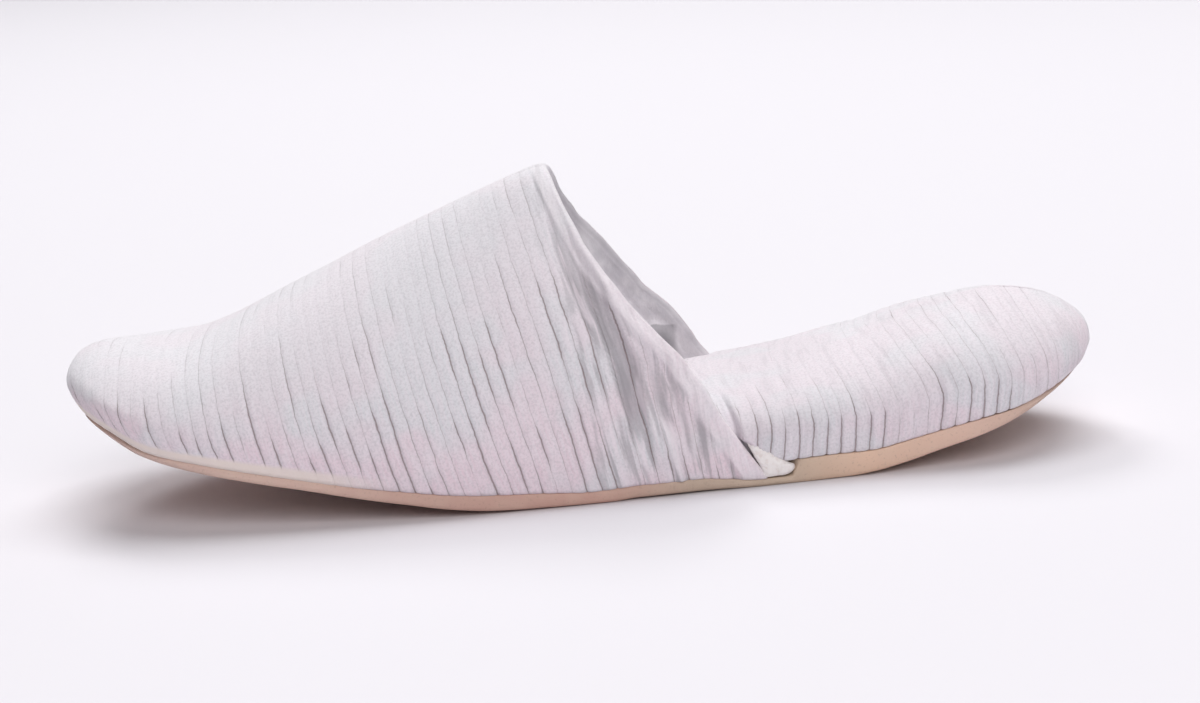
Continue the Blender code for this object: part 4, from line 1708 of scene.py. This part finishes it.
    def build(self) -> bpy.types.Mesh:
        """Build the pad, corded on its walls and its dome, and close its underside.

        Returns:
            The mesh.
        """
        last = self.last
        start = last.turn_at(self.front_end)
        coarse, fine = self.front_spacing, self.spacing
        turn = even_turns(last, ((0.0, coarse), (start - 0.01, coarse), (start, fine), (1.0, fine)))
        right, ups = self.sections(turn)
        points = both_sides(right)
        along, middle = points[..., 0], right.shape[1] - 1
        weave = Weave(points, closed_front=True, closed_back=True)
        run = run_across(points)
        sole_top = last.sole_top(along)
        above = points[..., 2] - sole_top
        cord = self.cord_place(points, above)
        heel, under_arch = between(*self.heel, along), between(*self.arch, along)
        on_wall = 1.0 - between(5.0, 16.0 + 4.0 * under_arch, above)
        # Valleys, and their painted shade, stay open on the walls and fade over the top.
        strength = self.cords.strength(cord, run, blend(-0.58, 0.34, on_wall) - 0.5 * heel)
        strength *= blend(blend(0.42, 0.08, under_arch), 1.0, on_wall)
        strength *= 1.0 - 0.9 * between(*self.heel_tip, along)
        puff = self.puff.over(along, run) * between(2.0, 8.0, above)
        rise = self.cords.relief(cord, strength) + puff
        rise *= between(0.0, 0.5, mirrored(ups[None]) + 0.3)
        dressed = points + weave.normals(last) * rise[..., None]
        dressed[:, middle, 1] = 0.0
        dressed[..., 2] = np.maximum(dressed[..., 2], sole_top + self.edge_gap)
        measures = {
            "cord": cord,
            "valley": strength,
            "girth": run,
            # Painted shade on the pad's upper part, from just behind the upper's tail forward.
            "fold": 0.2 * between(206.0, 176.0, along) * between(4.0, 12.0, above),
            # Painted top light: the pad's top takes more of the paler tone than its walls.
            "crown": blend(0.35, 0.8, 1.0 - on_wall),
            # A faint share of the gathered cloth's painted dark and light streaks.
            "gather": np.full_like(run, 0.25),
        }
        mesh = weave.mesh("footbed", last, dressed, measures)
        with reworked(mesh) as form:
            rim = [edge for edge in form.edges if edge.is_boundary]
            bmesh.ops.holes_fill(form, edges=rim, sides=0)
        return mesh

    def dress(self, velour: bpy.types.Material) -> bpy.types.Object:
        """Build the pad, give it its finish and put it on the slipper.

        Args:
            velour: finish of its cover.

        Returns:
            The new piece.
        """
        piece = put_on_body("footbed_pad", self.build(), velour)
        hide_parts("footbed")
        return piece


@dataclass
class HemEnd:
    """Felt end of the collar's hem, a soft wedge on the sole's rebate."""

    last: Last
    side: Side
    depth: float = 3.0
    inset: float = 1.7
    rim_points: int = 72
    rings: int = 13
    fullness: float = 0.45
    fuzz: float = 0.16
    outline: tuple[Span, ...] = (
        # along, height
        (178.2, 2.4), (181.6, 2.2), (184.2, 2.4), (185.9, 3.4), (186.1, 4.6), (184.9, 5.2),
        (183.4, 6.3), (181.1, 8.0), (178.4, 10.1), (174.7, 12.2), (176.2, 7.9), (177.8, 4.6),
    )

    def rim(self) -> Array:
        """Outline as a smooth closed curve through its corners.

        Returns:
            Points as (along, height).
        """
        corners = np.array(self.outline)
        fine = np.linspace(0.0, len(corners), self.rim_points, endpoint=False)
        index = np.floor(fine).astype(int)
        share = (fine - index)[:, None]
        before, start, end, after = (corners[(index + step) % len(corners)] for step in (-1, 0, 1, 2))
        return 0.5 * (
            2.0 * start
            + (end - before) * share
            + (2.0 * before - 5.0 * start + 4.0 * end - after) * share**2
            + (3.0 * start - before - 3.0 * end + after) * share**3
        )

    def build(self) -> bpy.types.Mesh:
        """Build the wedge: rings that shrink towards both of its faces.

        Returns:
            The mesh.
        """
        rim = self.rim()
        centre = rim.mean(axis=0)
        angles = np.linspace(-0.5 * math.pi, 0.5 * math.pi, self.rings + 2)[1:-1, None]
        spread = (rim - centre) * (np.cos(angles) ** self.fullness)[..., None]
        along, height = np.moveaxis(centre + spread, -1, 0)
        fuzz = self.fuzz * rumple(101, along * 1.3, height * 1.3 + angles * 2.0)
        out = self.inset - 0.5 * self.depth * np.sin(angles) - fuzz
        across = self.side.value * (self.last.half_width(along) - out)
        placed = self.last.placed(np.stack([along, across, height], axis=-1))
        mesh = bpy.data.meshes.new("hem_end")
        with reworked(mesh) as form:
            rings = [[form.verts.new(point) for point in ring] for ring in placed]
            for here, there in zip(rings, rings[1:]):
                for number in range(self.rim_points):
                    onward = (number + 1) % self.rim_points
                    form.faces.new((here[number], here[onward], there[onward], there[number]))
            form.faces.new(rings[0][::-1])
            form.faces.new(rings[-1])
            bmesh.ops.recalc_face_normals(form, faces=form.faces)
        mesh.shade_smooth()
        return mesh

    def dress(self, felt: bpy.types.Material) -> bpy.types.Object:
        """Build the wedge, give it its finish and put it on the slipper.

        Args:
            felt: its finish.

        Returns:
            The new piece.
        """
        side = self.side.name.lower()
        piece = put_on_body(f"felt_end_{side}", self.build(), felt)
        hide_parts(f"hem_end_{side}")
        return piece


@dataclass
class Outsole:
    """Tan foam sole: tread rounded into its side, with a ledge for the upper."""

    last: Last
    spacing: float = 0.9
    edge_round: float = 10.0
    edge_rows: int = 8
    edge_pace: float = 1.1
    edge_soft: float = 0.35
    edge_rise: tuple[Span, ...] = (
        # along, how far the tread's rounded edge stands up
        (0.0, 1.2), (60.0, 1.0), (105.0, 0.9), (130.0, 0.35),
        (150.0, 0.1), (190.0, 0.1), (210.0, 0.6), (266.5, 0.6),
    )
    toe_tuck: float = 2.4
    heel_tuck: float = 1.6
    side_rows: int = 5
    side_bulge: float = 0.25
    top_round: float = 0.25
    step: Span = (185.4, 187.6)
    toe: Span = (36.0, 3.0)
    heel: Span = (236.0, 262.0)
    wave: Ripple = Ripple(111, 0.12, 14.0, 6.0)
    weld: Span = (0.02, 0.01)  # distances for doubled points and for needless edges

    def sections(self, turn: Array) -> Array:
        """Rows of the right-hand side, from the middle of the tread round to the top.

        Args:
            turn: turns of the outline.

        Returns:
            Points, a column for each turn.
        """
        last = self.last
        here, _ = last.outline(turn)
        drawn = last.tuck(here) + self.toe_tuck * between(*self.toe, here)
        drawn = drawn + self.heel_tuck * between(*self.heel, here)
        thickness = last.thickness(here)
        ledge = last.ledge_height(here) - last.underside(here)
        stepped = between(*self.step, here)
        side_top = blend(ledge, thickness - self.top_round, stepped)
        shoulder = blend(last.wall + last.clearance, self.top_round, stepped)
        spine = last.spine(turn)
        rise = np.minimum(read_off(self.edge_rise, here), 0.3 * side_top)

        def at(distance: Array, above: Array) -> Array:
            """Point beside the outline."""
            along, across = last.inset(turn, drawn + distance)
            return np.stack([along, across, last.underside(along) + above], axis=-1)

        def inner(share: float, top: bool) -> Array:
            """Point on the way to the middle line.

            Args:
                share: 0 beside the edge to 1 on the middle line.
                top: whether it lies on the top, not on the tread.

            Returns:
                The points.
            """
            edge_along, edge_across = last.inset(turn, drawn + self.edge_round + last.wall)
            along = blend(edge_along, spine, share)
            height = last.sole_top(along) if top else last.underside(along)
            return np.stack([along, edge_across * (1.0 - share), height], axis=-1)

        rows = [inner(share, False) for share in (1.0, 0.5, 0.0)]
        for share in np.arange(self.edge_rows + 1) / self.edge_rows:
            rows.append(at(self.edge_soft + self.edge_round * (1.0 - share), rise * share**self.edge_pace))
        for share in np.arange(self.side_rows + 1) / self.side_rows:
            height = blend(rise + self.edge_soft, side_top - self.top_round, share)
            rows.append(at(-self.side_bulge * np.sin(math.pi * share), height))
        rows.append(at(0.6 * self.top_round, side_top))
        rows.append(at(shoulder, blend(ledge, thickness, stepped)))
        rows.append(at(shoulder + 0.3, thickness))
        rows.extend(inner(share, True) for share in (0.5, 1.0))
        return np.stack(rows, axis=1)

    def build(self) -> bpy.types.Mesh:
        """Build the sole as a ring of rows round each section, welded at its ends.

        Returns:
            The mesh.
        """
        turn = even_turns(self.last, ((0.0, self.spacing), (1.0, self.spacing)))
        right = self.sections(turn)
        left = right[:, ::-1][:, 1:] * (1.0, -1.0, 1.0)
        left[:, -1] = right[:, 0]
        points = np.concatenate([right, left], axis=1)
        along, _, height = np.moveaxis(points, -1, 0)
        swell = self.wave.over(along, height) * between(0.4, 1.5, height)
        points[..., 2] = np.maximum(height + swell, 0.0)
        mesh = Weave(points).mesh("outsole", self.last)
        with reworked(mesh) as form:
            bmesh.ops.remove_doubles(form, verts=form.verts, dist=self.weld[0] * MM)
            bmesh.ops.dissolve_degenerate(form, edges=form.edges, dist=self.weld[1] * MM)
            bmesh.ops.recalc_face_normals(form, faces=form.faces)
        mesh.shade_smooth()
        return mesh

    def dress(self, rubber: bpy.types.Material) -> bpy.types.Object:
        """Build the sole, give it its finish and put it on the slipper.

        Args:
            rubber: its finish.

        Returns:
            The new piece.
        """
        piece = put_on_body("outsole_foam", self.build(), rubber)
        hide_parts("outsole")
        return piece


# --- studio ---


@dataclass(frozen=True)
class SoftLight:
    """A square area lamp that faces a point; places in metres, power in watts."""

    name: str
    place: Point
    target: Point
    size: float
    power: float
    colour: Colour = (1.0, 0.985, 0.99)

    def hang(self) -> None:
        """Hang the lamp."""
        lamp = bpy.data.lights.new(self.name, "AREA")
        lamp.shape, lamp.size, lamp.energy, lamp.color = "SQUARE", self.size, self.power, self.colour
        hung = bpy.data.objects.new(self.name, lamp)
        hung.location = self.place
        aim = Vector(self.target) - Vector(self.place)
        hung.rotation_euler = aim.to_track_quat("-Z", "Y").to_euler()
        bpy.context.scene.collection.objects.link(hung)


@dataclass
class Studio:
    """Seamless paper, soft lights and the camera, in metres and degrees."""

    azimuth: float = 1.5
    elevation: float = 12.0
    roll: float = 5.0
    lens: float = 80.0
    distance: float = 0.6895
    aim: Point = (0.0009, 0.0, 0.0295)
    shift: float = 0.0179
    view_end: float = 20.0
    floor_reach: float = 9.0
    sweep_start: float = 3.6
    sweep_radius: float = 1.2
    sweep_height: float = 4.5
    sweep_steps: int = 16
    air: Colour = (0.97, 0.965, 1.0)
    air_strength: float = 0.10
    lamps: tuple[SoftLight, ...] = (
        SoftLight("overhead_bank", (0.35, 0.65, 2.3), (0.0, 0.0, 0.0), 1.8, 40.5),
        SoftLight("back_bank", (-0.75, 2.6, 2.48), (-0.2, -0.2, 0.1), 1.25, 52.0),
        SoftLight("front_fill", (0.35, -1.8, 1.5), (0.0, 0.0, 0.03), 1.6, 27.5, (1.0, 0.97, 0.98)),
    )

    def floor(self, paper: bpy.types.Material) -> None:
        """Lay the paper: flat under the slipper, curving up behind it.

        Args:
            paper: its finish.
        """
        profile = [(-self.floor_reach, 0.0), (self.sweep_start, 0.0)]
        for step in range(1, self.sweep_steps + 1):
            angle = 0.5 * math.pi * step / self.sweep_steps
            across = self.sweep_start + self.sweep_radius * math.sin(angle)
            profile.append((across, self.sweep_radius * (1.0 - math.cos(angle))))
        profile.append((self.sweep_start + self.sweep_radius, self.sweep_height))
        mesh = bpy.data.meshes.new("paper")
        with reworked(mesh) as form:
            left, right = (
                [form.verts.new((edge, y, z)) for y, z in profile]
                for edge in (-self.floor_reach, self.floor_reach)
            )
            for number in range(len(profile) - 1):
                form.faces.new((left[number], right[number], right[number + 1], left[number + 1]))
        mesh.shade_smooth()
        mesh.materials.append(paper)
        sheet = bpy.data.objects.new("studio_paper", mesh)
        bpy.context.scene.collection.objects.link(sheet)

    def lights(self) -> None:
        """Set the surrounding light and hang the lamps."""
        world = bpy.data.worlds.new("studio_air")
        world.use_nodes = True
        air = world.node_tree.nodes["Background"]
        air.inputs["Color"].default_value = (*self.air, 1.0)
        air.inputs["Strength"].default_value = self.air_strength
        bpy.context.scene.world = world
        for lamp in self.lamps:
            lamp.hang()

    def camera(self) -> None:
        """Place the camera for the main view."""
        turn, tilt, roll = (math.radians(angle) for angle in (self.azimuth, self.elevation, self.roll))
        ahead = Vector((-math.sin(turn) * math.cos(tilt), math.cos(turn) * math.cos(tilt), -math.sin(tilt)))
        right = Vector((math.cos(turn), math.sin(turn), 0.0))
        up = right.cross(ahead)
        rolled_right = right * math.cos(roll) - up * math.sin(roll)
        rolled_up = right * math.sin(roll) + up * math.cos(roll)
        data = bpy.data.cameras.new("main_view")
        data.lens, data.shift_x, data.clip_end = self.lens, self.shift, self.view_end
        eye = bpy.data.objects.new("main_view", data)
        turned = Matrix((rolled_right, rolled_up, -ahead)).transposed().to_4x4()
        eye.matrix_world = Matrix.Translation(Vector(self.aim) - ahead * self.distance) @ turned
        bpy.context.scene.collection.objects.link(eye)
        bpy.context.scene.camera = eye


def main() -> None:
    """Dress the slipper piece by piece, then set the studio."""
    logging.basicConfig(level=logging.INFO, format="%(name)s: %(message)s")
    last = Last()
    velour, felt = CordedVelour().make(), WoolFelt().make()
    pieces = [
        Outsole(last).dress(FoamRubber().make()),
        Upper(last).dress(velour, LiningCloth().make()),
        Footbed(last).dress(velour),
        *(HemEnd(last, side).dress(felt) for side in Side),
    ]
    for piece in pieces:
        LOG.info("%s: %d faces", piece.name, len(piece.data.polygons))
    studio = Studio()
    studio.floor(StudioPaper().make())
    studio.lights()
    studio.camera()
    bpy.context.scene.view_settings.view_transform = "Standard"


if __name__ == "__main__":
    main()
